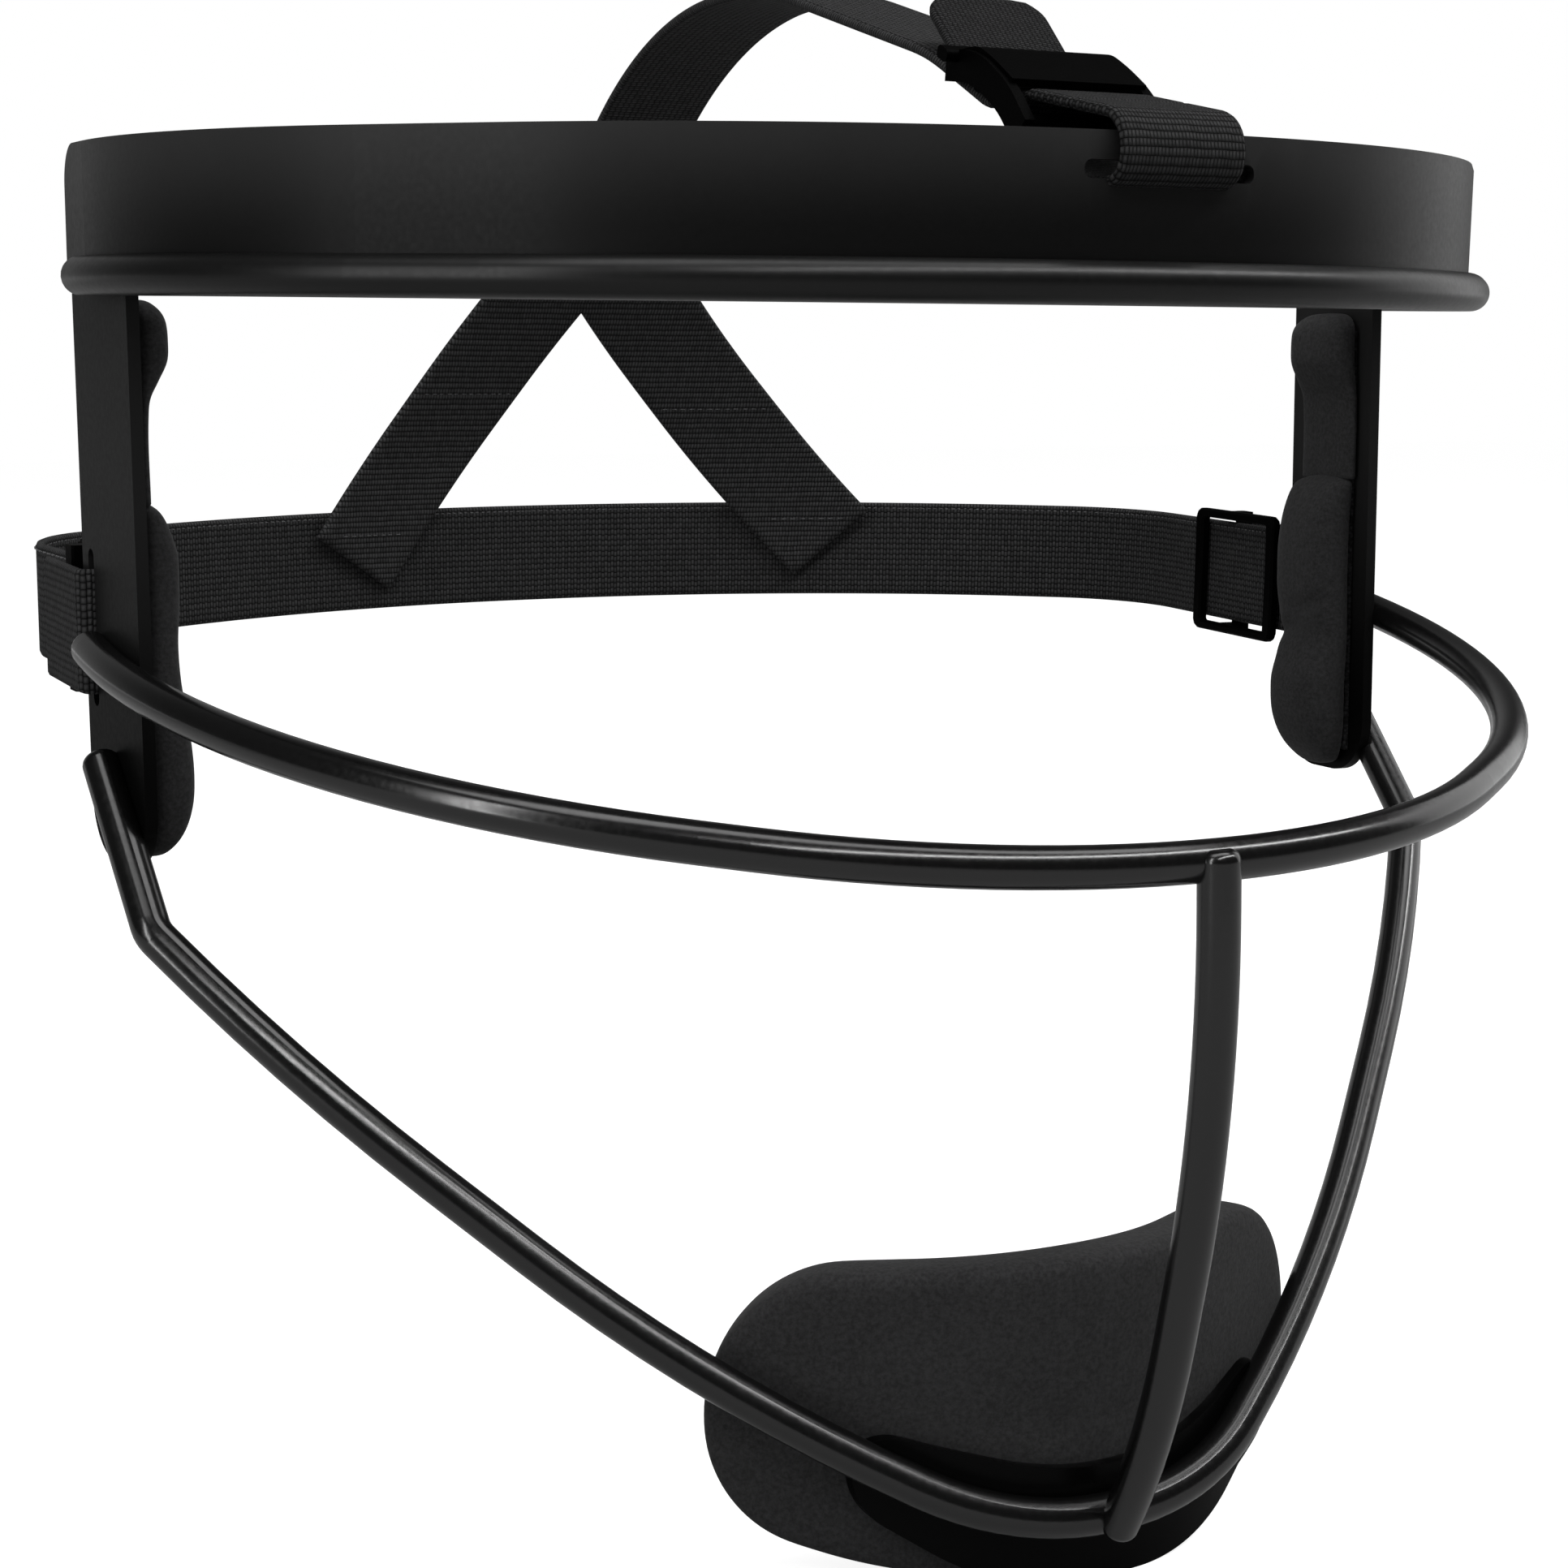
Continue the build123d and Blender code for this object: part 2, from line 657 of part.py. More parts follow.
crown_corners = [(dip_y, dip_z), (crown_front_y, crown_top_z), (crown_rear_y, crown_top_z),
                 (crown_bend_y, crown_bend_z), (crown_low_y, crown_low_z)]
crown_end = (crown_end_y, crown_end_z)
crown_radii = bend_radii([on_dip(0, 0), *crown_corners, crown_end], crown_bend_shares)
strap_axis = Axis((0, strap_back_y - strap_radii[1], 0), (0, 0, 1))


def leg_band(low, top):
    """Corners of a straight band of webbing between two points in rear view."""
    along = (Vector(*top) - Vector(*low)).normalized()
    side = Vector(-along.Y, along.X) * (web_w / 2)
    end = Vector(*top) + along * leg_reach
    return [(point.X, point.Y) for point in
            (Vector(*low) + side, Vector(*low) - side, end - side, end + side)]


def crown_leg(band, side):
    """Solid of one leg: the shell kept where the band lies on its side."""
    with BuildPart() as leg:
        with BuildSketch(Plane.YZ):
            with BuildLine():
                strip([*crown_corners[2:], crown_end], crown_radii[3:], -web_r, web_r)
            make_face()
        revolve(axis=strap_axis)
        with BuildSketch(Plane.XZ.offset(-strap_back_y - web_w)):
            Polygon(*band, align=None)
            with Locations((0, crown_join_z)):
                Rectangle(strap_back_y, strap_back_y * 2, mode=Mode.INTERSECT,
                          align=(Align.MIN if side > 0 else Align.MAX, Align.MAX))
        extrude(amount=strap_back_y, mode=Mode.INTERSECT)
        add(back_strap.part, mode=Mode.SUBTRACT)
    return leg


crown_strap_right = crown_leg(
    leg_band((right_leg_x, right_leg_z), (right_leg_top_x, crown_join_z)), -1)
crown_strap_left = crown_leg(
    leg_band((left_leg_x, left_leg_z), (left_leg_top_x, crown_join_z)), 1)

# Top strap: from the crown join over the head, round the adjuster's middle bar
lap = web_t + gap
over_bar = web_t + gap + gap + mid_bar_t
wrap_end = rear_bar_at * wrap_end_share
wrap_front = -(mid_bar_l / 2 + gap + web_r)
top_points = [on_dip(wrap_end, lap), on_dip(wrap_end * wrap_drop_share, over_bar),
              on_dip(wrap_front, over_bar), on_dip(wrap_front, 0),
              *crown_corners, crown_end]
with BuildPart() as top_strap:
    with BuildSketch(Plane.YZ):
        with BuildLine():
            strip(top_points, [wrap_bend_r] * 3 + crown_radii, -web_r, web_r)
        make_face()
    extrude(amount=web_w / 2, both=True)
    with Locations((0, 0, crown_join_z)):
        Box(cut_size, cut_size, cut_size,
            align=(Align.CENTER, Align.MIN, Align.MAX), mode=Mode.SUBTRACT)

tail_points = [on_dip(wrap_end + web_r, lap), on_dip(tail_lift_at, lap),
               on_dip(tail_tip_at, tail_tip_rise)]
with BuildPart() as top_strap_tail:
    with BuildSketch(Plane.YZ):
        with BuildLine():
            strip(tail_points, [tail_bend_r], -web_r, web_r)
        make_face()
    extrude(amount=web_w / 2, both=True)
    tail_tip = top_strap_tail.faces().sort_by(Axis.Y)[-1]
    fillet(tail_tip.edges().sort_by(SortBy.LENGTH)[:2], web_w * tail_corner_share)

# Top adjuster: three bars between two rails that curve down to the front
rear_bar_rise = lap + web_r + gap + rear_bar_t / 2
mid_bar_rise = web_r + gap + mid_bar_t / 2
front_bar_r = front_bar_d / 2
rail_in = web_w / 2 + rail_gap
rail_points = [(rail_rear_y, rail_rear_z), (rail_crest_y, rail_crest_z),
               (rail_fall_y, rail_fall_z), (rail_end_y, rail_end_z)]
rail_radii = bend_radii(rail_points, rail_bend_shares)
cover_rise = over_bar + web_r + gap + cover_t / 2
cover_points = [on_dip(rear_bar_at, rear_bar_rise), on_dip(mid_bar_l, cover_rise),
                on_dip(wrap_front, cover_rise), (cover_front_y, cover_front_z)]
with BuildPart() as top_adjuster:
    with BuildSketch(Plane.YZ.offset(rail_in), Plane.YZ.offset(-rail_in - rail_t)):
        with BuildLine():
            strip(rail_points, rail_radii, -rail_deep / 2, rail_deep / 2)
        make_face()
    extrude(amount=rail_t)
    with BuildSketch(Plane.YZ):
        with Locations(Location((*on_dip(0, mid_bar_rise), 0), (0, 0, dip_angle))):
            RectangleRounded(mid_bar_l, mid_bar_t, mid_bar_t * bar_round_share)
        with Locations((front_bar_y, front_bar_z)):
            Circle(front_bar_r)
    extrude(amount=rail_in + rail_t / 2, both=True)
    with BuildSketch(Plane.YZ):
        with Locations(Location((*on_dip(rear_bar_at, rear_bar_rise), 0), (0, 0, dip_angle))):
            RectangleRounded(rear_bar_l, rear_bar_t, rear_bar_t * bar_round_share)
    extrude(amount=rear_bar_w / 2, both=True)
    with BuildSketch(Plane.YZ):
        with BuildLine():
            strip(cover_points, bend_radii(cover_points, cover_bend_shares),
                  -cover_t / 2, cover_t / 2)
        make_face()
    extrude(amount=rail_in + rail_t / 2, both=True)

# Front loop round the adjuster's front bar and through the brow plate's slot
loop_reach = front_bar_r + loop_slack + web_t
loop_points = [(loop_front_y, loop_top_z),
               (front_bar_y + loop_reach, front_bar_z + loop_reach + loop_rise),
               (front_bar_y + loop_reach, front_bar_z - loop_reach),
               (loop_inner_y, loop_low_z), (loop_front_y, loop_low_z)]
with BuildPart() as front_loop:
    with BuildSketch(Plane.YZ):
        with BuildLine():
            FilletPolyline(*loop_points, close=True,
                           radius=loop_radii(loop_points, loop_round_shares))
        make_face()
        offset(amount=-web_t, mode=Mode.SUBTRACT)
    extrude(amount=web_w / 2, both=True)

pieces = {
    "brow_bar": brow_bar,
    "brow_plate": brow_plate,
    "side_plate_right": side_plate_right,
    "side_plate_left": side_plate_left,
    "cheek_hoop": cheek_hoop,
    "jaw_bar": jaw_bar,
    "center_bar": center_bar,
    "chin_plate": chin_plate,
    "brow_pad": brow_pad,
    "temple_pad_right": temple_pad_right,
    "temple_pad_left": temple_pad_left,
    "cheek_pad_right": cheek_pad_right,
    "cheek_pad_left": cheek_pad_left,
    "chin_pad": chin_pad,
    "brow_pad_tape": brow_pad_tape,
    "side_pad_tape_right": side_pad_tape_right,
    "side_pad_tape_left": side_pad_tape_left,
    "chin_pad_tape": chin_pad_tape,
    "back_strap": back_strap,
    "slot_fold_right": slot_fold_right,
    "slot_fold_left": slot_fold_left,
    "back_adjuster_right": back_adjuster_right,
    "back_adjuster_left": back_adjuster_left,
    "crown_strap_right": crown_strap_right,
    "crown_strap_left": crown_strap_left,
    "top_strap": top_strap,
    "top_strap_tail": top_strap_tail,
    "top_adjuster": top_adjuster,
    "front_loop": front_loop,
}
for name, piece in pieces.items():
    piece.part.label = name
    export_step(piece.part, f"parts/{name}.step")
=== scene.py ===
"""Visual model of a softball face guard: its finishes, webbing, pads and studio."""
import math

import bmesh
import bpy
from mathutils import Matrix, Vector


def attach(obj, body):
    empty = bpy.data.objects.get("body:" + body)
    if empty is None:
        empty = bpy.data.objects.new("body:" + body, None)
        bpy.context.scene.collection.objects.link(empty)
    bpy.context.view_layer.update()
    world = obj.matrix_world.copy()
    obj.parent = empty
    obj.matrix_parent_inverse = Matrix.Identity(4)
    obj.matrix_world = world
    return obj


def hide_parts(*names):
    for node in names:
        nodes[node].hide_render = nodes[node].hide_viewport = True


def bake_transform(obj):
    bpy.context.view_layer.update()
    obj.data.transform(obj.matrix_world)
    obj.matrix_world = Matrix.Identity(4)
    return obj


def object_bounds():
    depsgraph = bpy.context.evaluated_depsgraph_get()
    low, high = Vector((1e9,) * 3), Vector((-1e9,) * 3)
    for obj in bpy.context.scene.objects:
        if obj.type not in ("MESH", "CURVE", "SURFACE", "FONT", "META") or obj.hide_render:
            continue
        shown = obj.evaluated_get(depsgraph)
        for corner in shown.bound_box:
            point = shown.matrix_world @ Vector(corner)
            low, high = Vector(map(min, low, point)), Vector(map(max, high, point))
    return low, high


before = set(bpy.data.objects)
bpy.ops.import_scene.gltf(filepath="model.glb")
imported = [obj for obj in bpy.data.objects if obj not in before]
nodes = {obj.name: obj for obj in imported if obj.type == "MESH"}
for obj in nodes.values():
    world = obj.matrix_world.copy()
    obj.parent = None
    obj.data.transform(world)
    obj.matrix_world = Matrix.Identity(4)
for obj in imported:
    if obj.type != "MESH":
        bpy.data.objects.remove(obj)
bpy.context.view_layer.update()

# Sizes and places in millimetres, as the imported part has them. Meshes are written in metres.
MM = 0.001
TINY = 1e-9

# Bars and plates. A route runs from the wearer's left side to near the mid-plane, and its
# reaches are the shares of the shorter run that the bends take up. SIDE_FRONT is where a side
# plate's front edge stands, and the angles are in degrees.
BAR_X = 96.85
PLATE_T = 1.6
PLATE_IN = 2.1
CHIN_PLATE_T = 1.5
SIDE_FLARE = 4.9
SIDE_FRONT = (94.1, -26.6)
SLOT_Y = -9.0
BROW_TILT = 2.0
BROW_ROUTE = [(BAR_X, -14.0), (BAR_X, -44.0), (41.4, -106.5)]
BROW_REACHES = [0.94, 0.469]
CHIN_ROUTE = [(63.8, -64.6), (44.2, -81.2), (12.8, -99.0)]
CHIN_REACHES = [0.664, 0.475]

# Webbing, the strap round the back of the head, and the ends that pass the side slots
WEB_T = 1.3
WEB_W = 16.0
GAP = 0.3
STRAP_TILT = 2.12
STRAP_Z = -44.4
STRAP_ROUTE = [(91.5, -7.0), (94.8, 39.6), (47.0, 76.1)]
STRAP_REACHES = [0.276, 0.759]
FOLD_ROUTE = [(91.48, -7.3), (91.36, SLOT_Y), (96.9, SLOT_Y), (97.1, 10.5)]
FOLD_BEND_R = 1.0

# Top strap in side view, as Y and Z: it dips towards the forehead, wraps the adjuster's middle
# bar, and its crown falls to the two legs, which are given in X and Z from low to top
DIP = (-67.5, 24.7)
DIP_ANGLE = 27.0
WRAP_AT = 15.0
CROWN = [DIP, (-21.5, 38.3), (15.2, 38.3), (58.0, 7.5), (74.3, -32.3), (75.2, -52.0)]
CROWN_REACHES = [0.3, 0.313, 0.657, 0.5, 0.65]
CROWN_FALLS_FROM = 20.0
CROWN_JOIN_Z = 14.0
LEG_REACH = 3.0
LEG_WIDEST_SHARE = 0.98
RIGHT_LEG = ((-36.4, -42.0), (1.6, CROWN_JOIN_Z))
LEFT_LEG = ((48.6, -40.8), (-3.6, CROWN_JOIN_Z))
MID_BAR_L = 2.0
MID_BAR_T = 1.8
REAR_BAR_AT = 5.5
LAP = WEB_T + GAP
OVER_BAR = WEB_T + 2 * GAP + MID_BAR_T
WRAP_END_SHARE = 0.72
WRAP_DROP_SHARE = 0.4
WRAP_END = REAR_BAR_AT * WRAP_END_SHARE
WRAP_DROP = WRAP_END * WRAP_DROP_SHARE
WRAP_FRONT = -(MID_BAR_L / 2 + GAP + WEB_T / 2)
WRAP_BEND_R = 1.4
TAIL_LIFT_AT = 7.0
TAIL_TIP_AT = 18.6
TAIL_TIP_RISE = 5.4
TAIL_BEND_RADII = [0.6, 6.0]
TAIL_CORNER = 3.5

# Front loop in side view, round the outside of its webbing
LOOP_OUTER = [(-108.2, 13.2), (-88.3, 17.4), (-88.3, 11.6), (-101.6, 7.6), (-108.2, 7.8)]
LOOP_REACHES = [0.36, 0.36, 0.5, 0.42, 0.55]
LOOP_X = 0.5
LOOP_OPEN = 0.02

# Sliders on the back strap: corners of the frame's outline and opening, along and across the
# strap, and the half sizes of the middle bar
SLIDER_AT = (92.53, 7.5)
SLIDER_T = 1.6
SLIDER_OUTER = ((-15.2, -9.9), (8.0, 9.9))
SLIDER_INNER = ((-13.0, -8.5), (5.9, 8.5))
SLIDER_OUTER_R = 1.4
SLIDER_INNER_R = 0.6
SLIDER_BAR = (1.6, 9.7)
SLIDER_LEG = 1.4
SLIDER_EDGE = 0.35
BAR_EDGE = 0.3

# Pads and their hook-and-loop layers
TAPE_T = 0.8
TAPE_EDGE = 0.24
BROW_BASE = PLATE_IN + TAPE_T
CHIN_BASE = PLATE_IN + CHIN_PLATE_T + TAPE_T
PAD_FRONT = 2.4
PAD_REAR = 16.2
PAD_HUG = 0.03


# Routes

def runs_of(points):
    """Straight runs between the corners of a flat route."""
    return [Vector(b) - Vector(a) for a, b in zip(points, points[1:])]


def bend_radii(points, reaches):
    """Radius at each corner, its bend reaching a share of the shorter run."""
    runs = runs_of(points)
    return [reach * min(a.length, b.length) / math.tan(a.angle(b) / 2)
            for reach, a, b in zip(reaches, runs, runs[1:])]


def rounded(points, radii, step=1.2):
    """Points along a flat route with an arc at each corner."""
    path = [Vector(points[0])]
    runs = runs_of(points)
    for corner, radius, a, b in zip(points[1:], radii, runs, runs[1:]):
        turn = a.angle(b)
        ahead = a.normalized()
        start = Vector(corner) - ahead * (radius * math.tan(turn / 2))
        side = Vector((-ahead.y, ahead.x))
        side = side if side.dot(b) > 0 else -side
        count = max(3, math.ceil(radius * turn / step))
        for i in range(count + 1):
            angle = turn * i / count
            path.append(start + ahead * (radius * math.sin(angle))
                        + side * (radius * (1 - math.cos(angle))))
    path.append(Vector(points[-1]))
    return path


def evenly(path, step):
    """The same route with points at even distances, and its length."""
    lengths = [0.0]
    for a, b in zip(path, path[1:]):
        lengths.append(lengths[-1] + (b - a).length)
    total = lengths[-1]
    count = max(2, round(total / step))
    even, at = [], 0
    for i in range(count + 1):
        want = total * i / count
        while at < len(path) - 2 and lengths[at + 1] < want:
            at += 1
        share = (want - lengths[at]) / max(lengths[at + 1] - lengths[at], TINY)
        even.append(path[at].lerp(path[at + 1], share))
    return even, total


def step_at(even, pace, distance):
    """Number of the step of an even path at a distance, and the point there, past its ends too."""
    at = min(max(int(distance / pace), 0), len(even) - 2)
    return at, even[at].lerp(even[at + 1], distance / pace - at)


def along(path, step=0.6):
    """A function that gives a route's point at a distance, and the route's length."""
    even, total = evenly(path, step)
    pace = total / (len(even) - 1)

    def point(distance):
        return step_at(even, pace, distance)[1]
    return point, total


def closed_outline(points, reaches, step, fineness=0.6):
    """A closed flat outline with rounded corners, its points at even distances."""
    start = (Vector(points[0]) + Vector(points[-1])) / 2
    radii = bend_radii([points[-1], *points, points[0]], reaches)
    return evenly(rounded([start, *points, start], radii, fineness), step)[0][:-1]


def mirrored(points):
    """A flat route and its mirror image, as one route from left to right."""
    return points + [(-x, y) for x, y in reversed(points)]


def tilted(degrees, height):
    """A function that lays a flat point in a plane that is tipped about X."""
    angle = math.radians(degrees)

    def lay(x, y, up):
        return Vector((x, y * math.cos(angle) - up * math.sin(angle),
                       height + y * math.sin(angle) + up * math.cos(angle)))
    return lay


def eased(value, low, high):
    """Share of the way from low to high, slow at both ends."""
    share = min(max((value - low) / (high - low), 0.0), 1.0)
    return share * share * (3 - 2 * share)


def side_of(name):
    """Sign of X on the side that a name ends with."""
    return 1 if name.endswith("left") else -1


# Meshes

def tube_faces(rows, columns):
    """Faces of a closed form made of rings, with a cap at each end."""
    faces = [(r * columns + c, r * columns + (c + 1) % columns,
              (r + 1) * columns + (c + 1) % columns, (r + 1) * columns + c)
             for r in range(rows - 1) for c in range(columns)]
    last = (rows - 1) * columns
    faces.append(tuple(reversed(range(columns))))
    faces.append(tuple(range(last, last + columns)))
    return faces


def bevelled(x0, z0, x1, z1, edge):
    """Section of a bar or layer between two corners, its four edges bevelled."""
    return [(x0, z0 + edge), (x0 + edge, z0), (x1 - edge, z0), (x1, z0 + edge),
            (x1, z1 - edge), (x1 - edge, z1), (x0 + edge, z1), (x0, z1 - edge)]


def whole_turn(count):
    """Cosine and sine at even steps of a whole turn."""
    angles = [2 * math.pi * i / count for i in range(count)]
    return [(math.cos(angle), math.sin(angle)) for angle in angles]


def squared(value, power):
    """A cosine or sine pushed outward, so that its circle nears a rounded box."""
    return math.copysign(abs(value) ** power, value)


def turn_out(mesh):
    """Turn a closed mesh's faces to the outside."""
    form = bmesh.new()
    form.from_mesh(mesh)
    bmesh.ops.recalc_face_normals(form, faces=form.faces)
    form.to_mesh(mesh)
    form.free()


def piece(name, vertices, faces, material, stands_for=None, body="mask", smooth=True,
          weave=None):
    """A new piece from points in millimetres, with its finish, its body and the node it replaces.

    Weave gives each point's place along and across a strap, for the woven material."""
    mesh = bpy.data.meshes.new(name)
    mesh.from_pydata([Vector(v) * MM for v in vertices], [], faces)
    mesh.validate()
    if weave:
        attribute = mesh.attributes.new("weave_place", "FLOAT_VECTOR", "POINT")
        attribute.data.foreach_set("vector", [value for row in weave for value in (*row, 0.0)])
    if smooth:
        mesh.shade_smooth()
    else:
        mesh.shade_flat()
    mesh.materials.append(material)
    turn_out(mesh)
    obj = bpy.data.objects.new(name, mesh)
    bpy.context.scene.collection.objects.link(obj)
    if body:
        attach(obj, body)
    if stands_for:
        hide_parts(stands_for)
    return obj


# Material nodes

# Sockets of a Mix node that is set to colours
MIX_SHARE, MIX_FIRST, MIX_SECOND, MIX_RESULT = 0, 6, 7, 2


def feed(tree, made, inputs):
    """Give a node its inputs: another node's output is linked, a number or colour is set."""
    for key, value in inputs.items():
        if isinstance(value, bpy.types.NodeSocket):
            tree.links.new(value, made.inputs[key])
        else:
            made.inputs[key].default_value = value


def node(tree, kind, inputs=None, **settings):
    """A new node with its settings and inputs."""
    made = tree.nodes.new(kind)
    for key, value in settings.items():
        setattr(made, key, value)
    feed(tree, made, inputs or {})
    return made


def calc(tree, operation, *values):
    """Result of a Math node."""
    return node(tree, "ShaderNodeMath", dict(enumerate(values)), operation=operation).outputs[0]


def weighted(tree, *pairs):
    """Sum of values, each times its weight."""
    parts = [calc(tree, "MULTIPLY", value, weight) for value, weight in pairs]
    total = parts[0]
    for part in parts[1:]:
        total = calc(tree, "ADD", total, part)
    return total


def noise(tree, place, scale, detail=3.0, roughness=0.5):
    """Noise over the object's own coordinates."""
    return node(tree, "ShaderNodeTexNoise", {
        "Vector": place, "Scale": scale, "Detail": detail, "Roughness": roughness}).outputs["Fac"]


def ramp(tree, value, dark, light, low, high):
    """Colour from dark to light as a value goes from low to high."""
    made = node(tree, "ShaderNodeValToRGB", {0: value})
    for element, position, colour in zip(made.color_ramp.elements, (low, high), (dark, light)):
        element.position = position
        element.color = (*colour, 1)
    return made.outputs[0]


def spread(tree, value, low, high):
    """A value from 0 to 1 spread between two others."""
    return node(tree, "ShaderNodeMapRange", {
        "Value": value, "To Min": low, "To Max": high}).outputs[0]


def bump(tree, height, depth, under=None):
    """Relief with its depth in millimetres, laid over another relief."""
    inputs = {"Strength": 1.0, "Distance": depth * MM, "Height": height}
    if under is not None:
        inputs["Normal"] = under
    return node(tree, "ShaderNodeBump", inputs).outputs[0]


def half_waves(tree, value, power):
    """One hump for each whole step of a value, made fuller by a power below one."""
    step = calc(tree, "MULTIPLY", calc(tree, "FRACT", value), math.pi)
    return calc(tree, "POWER", calc(tree, "SINE", step), power)


def new_material(name):
    """A new material, with its tree, its shader and the object's own coordinates."""
    material = bpy.data.materials.new(name)
    material.use_nodes = True
    tree = material.node_tree
    place = node(tree, "ShaderNodeTexCoord").outputs["Object"]
    return material, tree, tree.nodes["Principled BSDF"], place


def grey(level, blue=None):
    """A grey, with a little more blue where it is given."""
    return level, level, blue or level


# Materials

# Pale grey for edges that stand out: partly worn paint, partly a painted edge highlight.
EDGE_WEAR_AND_HIGHLIGHT_GREY = grey(0.05, 0.051)


def painted_shade_gradient(tree, place, body, low, high, gain):
    """Painted shade and light: a colour that is multiplied up to a gain from a low to a high
    height in millimetres.
    """
    split = node(tree, "ShaderNodeSeparateXYZ", {0: place})
    level = node(tree, "ShaderNodeMapRange", {
        "Value": split.outputs["Z"], "From Min": low * MM, "From Max": high * MM,
        "To Min": 1.0, "To Max": gain}, interpolation_type="SMOOTHSTEP")
    return node(tree, "ShaderNodeVectorMath", {0: body, "Scale": level.outputs[0]},
                operation="SCALE").outputs[0]


def worn_and_highlight_edges(tree, body, peel, edge_from, span=0.16, most=0.7):
    """Paler paint on edges that stand out, broken up by the orange peel: partly paint rubbed thin,
    partly a painted highlight where the edges catch light.
    """
    geometry = node(tree, "ShaderNodeNewGeometry")
    edge = node(tree, "ShaderNodeMapRange", {
        "Value": geometry.outputs["Pointiness"], "From Min": edge_from,
        "From Max": edge_from + span})
    share = calc(tree, "MULTIPLY", edge.outputs[0], calc(tree, "MULTIPLY", peel, most))
    return node(tree, "ShaderNodeMix", {
        MIX_SHARE: share, MIX_FIRST: body, MIX_SECOND: (*EDGE_WEAR_AND_HIGHLIGHT_GREY, 1)},
        data_type="RGBA").outputs[MIX_RESULT]


def paint(name, dark, light, rough, specular, grain, painted_shade=None, edge_from=0.62):
    """Black paint on steel: faint mottling, fine orange peel, paler edges that are partly thinner
    paint and partly a painted highlight.

    Given a low and a high height in millimetres and a gain, it grows paler upward: painted shade
    low down and painted light higher up."""
    material, tree, shader, place = new_material(name)
    mottle = noise(tree, place, scale=45.0, detail=4.0)
    fine = noise(tree, place, scale=1500.0, detail=2.0)
    peel = noise(tree, place, scale=420.0)
    body = ramp(tree, mottle, dark, light, low=0.2, high=0.8)
    # Painted shade: darker low down, next to the bar that shades the plate, and paler higher up.
    if painted_shade:
        body = painted_shade_gradient(tree, place, body, *painted_shade)
    uneven = weighted(tree, (mottle, 0.12), (fine, 0.88))
    feed(tree, shader, {
        "Base Color": worn_and_highlight_edges(tree, body, peel, edge_from),
        "Roughness": spread(tree, uneven, rough - 0.07, rough + 0.09),
        "Specular IOR Level": specular,
        "Normal": bump(tree, peel, grain * 1.5, bump(tree, fine, grain))})
    return material


def suede(name, dark, light):
    """Brushed microfibre over foam: short nap, patchy direction of the pile."""
    material, tree, shader, place = new_material(name)
    patch = noise(tree, place, scale=60.0, detail=5.0, roughness=0.6)
    nap = noise(tree, place, scale=1900.0, roughness=0.65)
    pile = noise(tree, place, scale=700.0, detail=4.0, roughness=0.6)
    both = weighted(tree, (patch, 0.2), (nap, 0.8))
    feed(tree, shader, {
        "Base Color": ramp(tree, both, dark, light, low=0.36, high=0.64),
        "Roughness": spread(tree, pile, 0.82, 0.98),
        "Specular IOR Level": 0.05,
        "Sheen Weight": 0.05,
        "Sheen Roughness": 0.45,
        "Normal": bump(tree, pile, 0.07, bump(tree, nap, 0.05))})
    return material


def webbing(name, dark, light, pitch, rows, slant=0.0):
    """Woven strap: rows of short yarns, the columns in pairs and a little out of step.

    Pitch is the columns' spacing along the strap and rows the yarns' across it."""
    stagger, ground = 0.16, 0.70
    material, tree, shader, place = new_material(name)
    weave = node(tree, "ShaderNodeAttribute", attribute_name="weave_place")
    split = node(tree, "ShaderNodeSeparateXYZ", {0: weave.outputs["Vector"]})
    wander = spread(tree, noise(tree, place, scale=260.0, detail=2.0), -0.12, 0.12)
    length = calc(tree, "ADD", split.outputs["X"], wander)
    across = calc(tree, "ADD", split.outputs["Y"], wander)
    skewed = calc(tree, "ADD", length, calc(tree, "MULTIPLY", across, slant))
    column = calc(tree, "DIVIDE", skewed, pitch)
    number = calc(tree, "FLOOR", column)
    odd = calc(tree, "MODULO", calc(tree, "ABSOLUTE", number), 2.0)
    row = calc(tree, "ADD", calc(tree, "DIVIDE", across, rows),
               calc(tree, "MULTIPLY", odd, stagger))
    yarn = calc(tree, "MULTIPLY", half_waves(tree, column, 0.5), half_waves(tree, row, 0.45))
    cell = node(tree, "ShaderNodeCombineXYZ", {"X": number, "Y": calc(tree, "FLOOR", row)})
    chance = node(tree, "ShaderNodeTexWhiteNoise", {"Vector": cell.outputs[0]},
                  noise_dimensions="2D")
    fibre = noise(tree, place, scale=5200.0, detail=2.0, roughness=0.7)
    varied = weighted(tree, (chance.outputs["Value"], 0.28), (fibre, 0.34), (odd, -0.16))
    tone = calc(tree, "MULTIPLY", yarn, calc(tree, "ADD", varied, ground))
    feed(tree, shader, {
        "Base Color": ramp(tree, tone, dark, light, low=0.12, high=0.95),
        "Roughness": spread(tree, fibre, 0.62, 0.86),
        "Specular IOR Level": 0.08,
        "Normal": bump(tree, fibre, 0.03, bump(tree, yarn, 0.26))})
    return material


def plastic(name, dark, light, rough):
    """Moulded plastic: fine spark-eroded grain and faint flow marks."""
    material, tree, shader, place = new_material(name)
    flow = noise(tree, place, scale=90.0)
    grain = noise(tree, place, scale=2600.0, detail=2.0)
    feed(tree, shader, {
        "Base Color": ramp(tree, flow, dark, light, low=0.3, high=0.7),
        "Roughness": spread(tree, grain, rough - 0.06, rough + 0.08),
        "Specular IOR Level": 0.015,
        "Normal": bump(tree, grain, 0.006)})
    return material


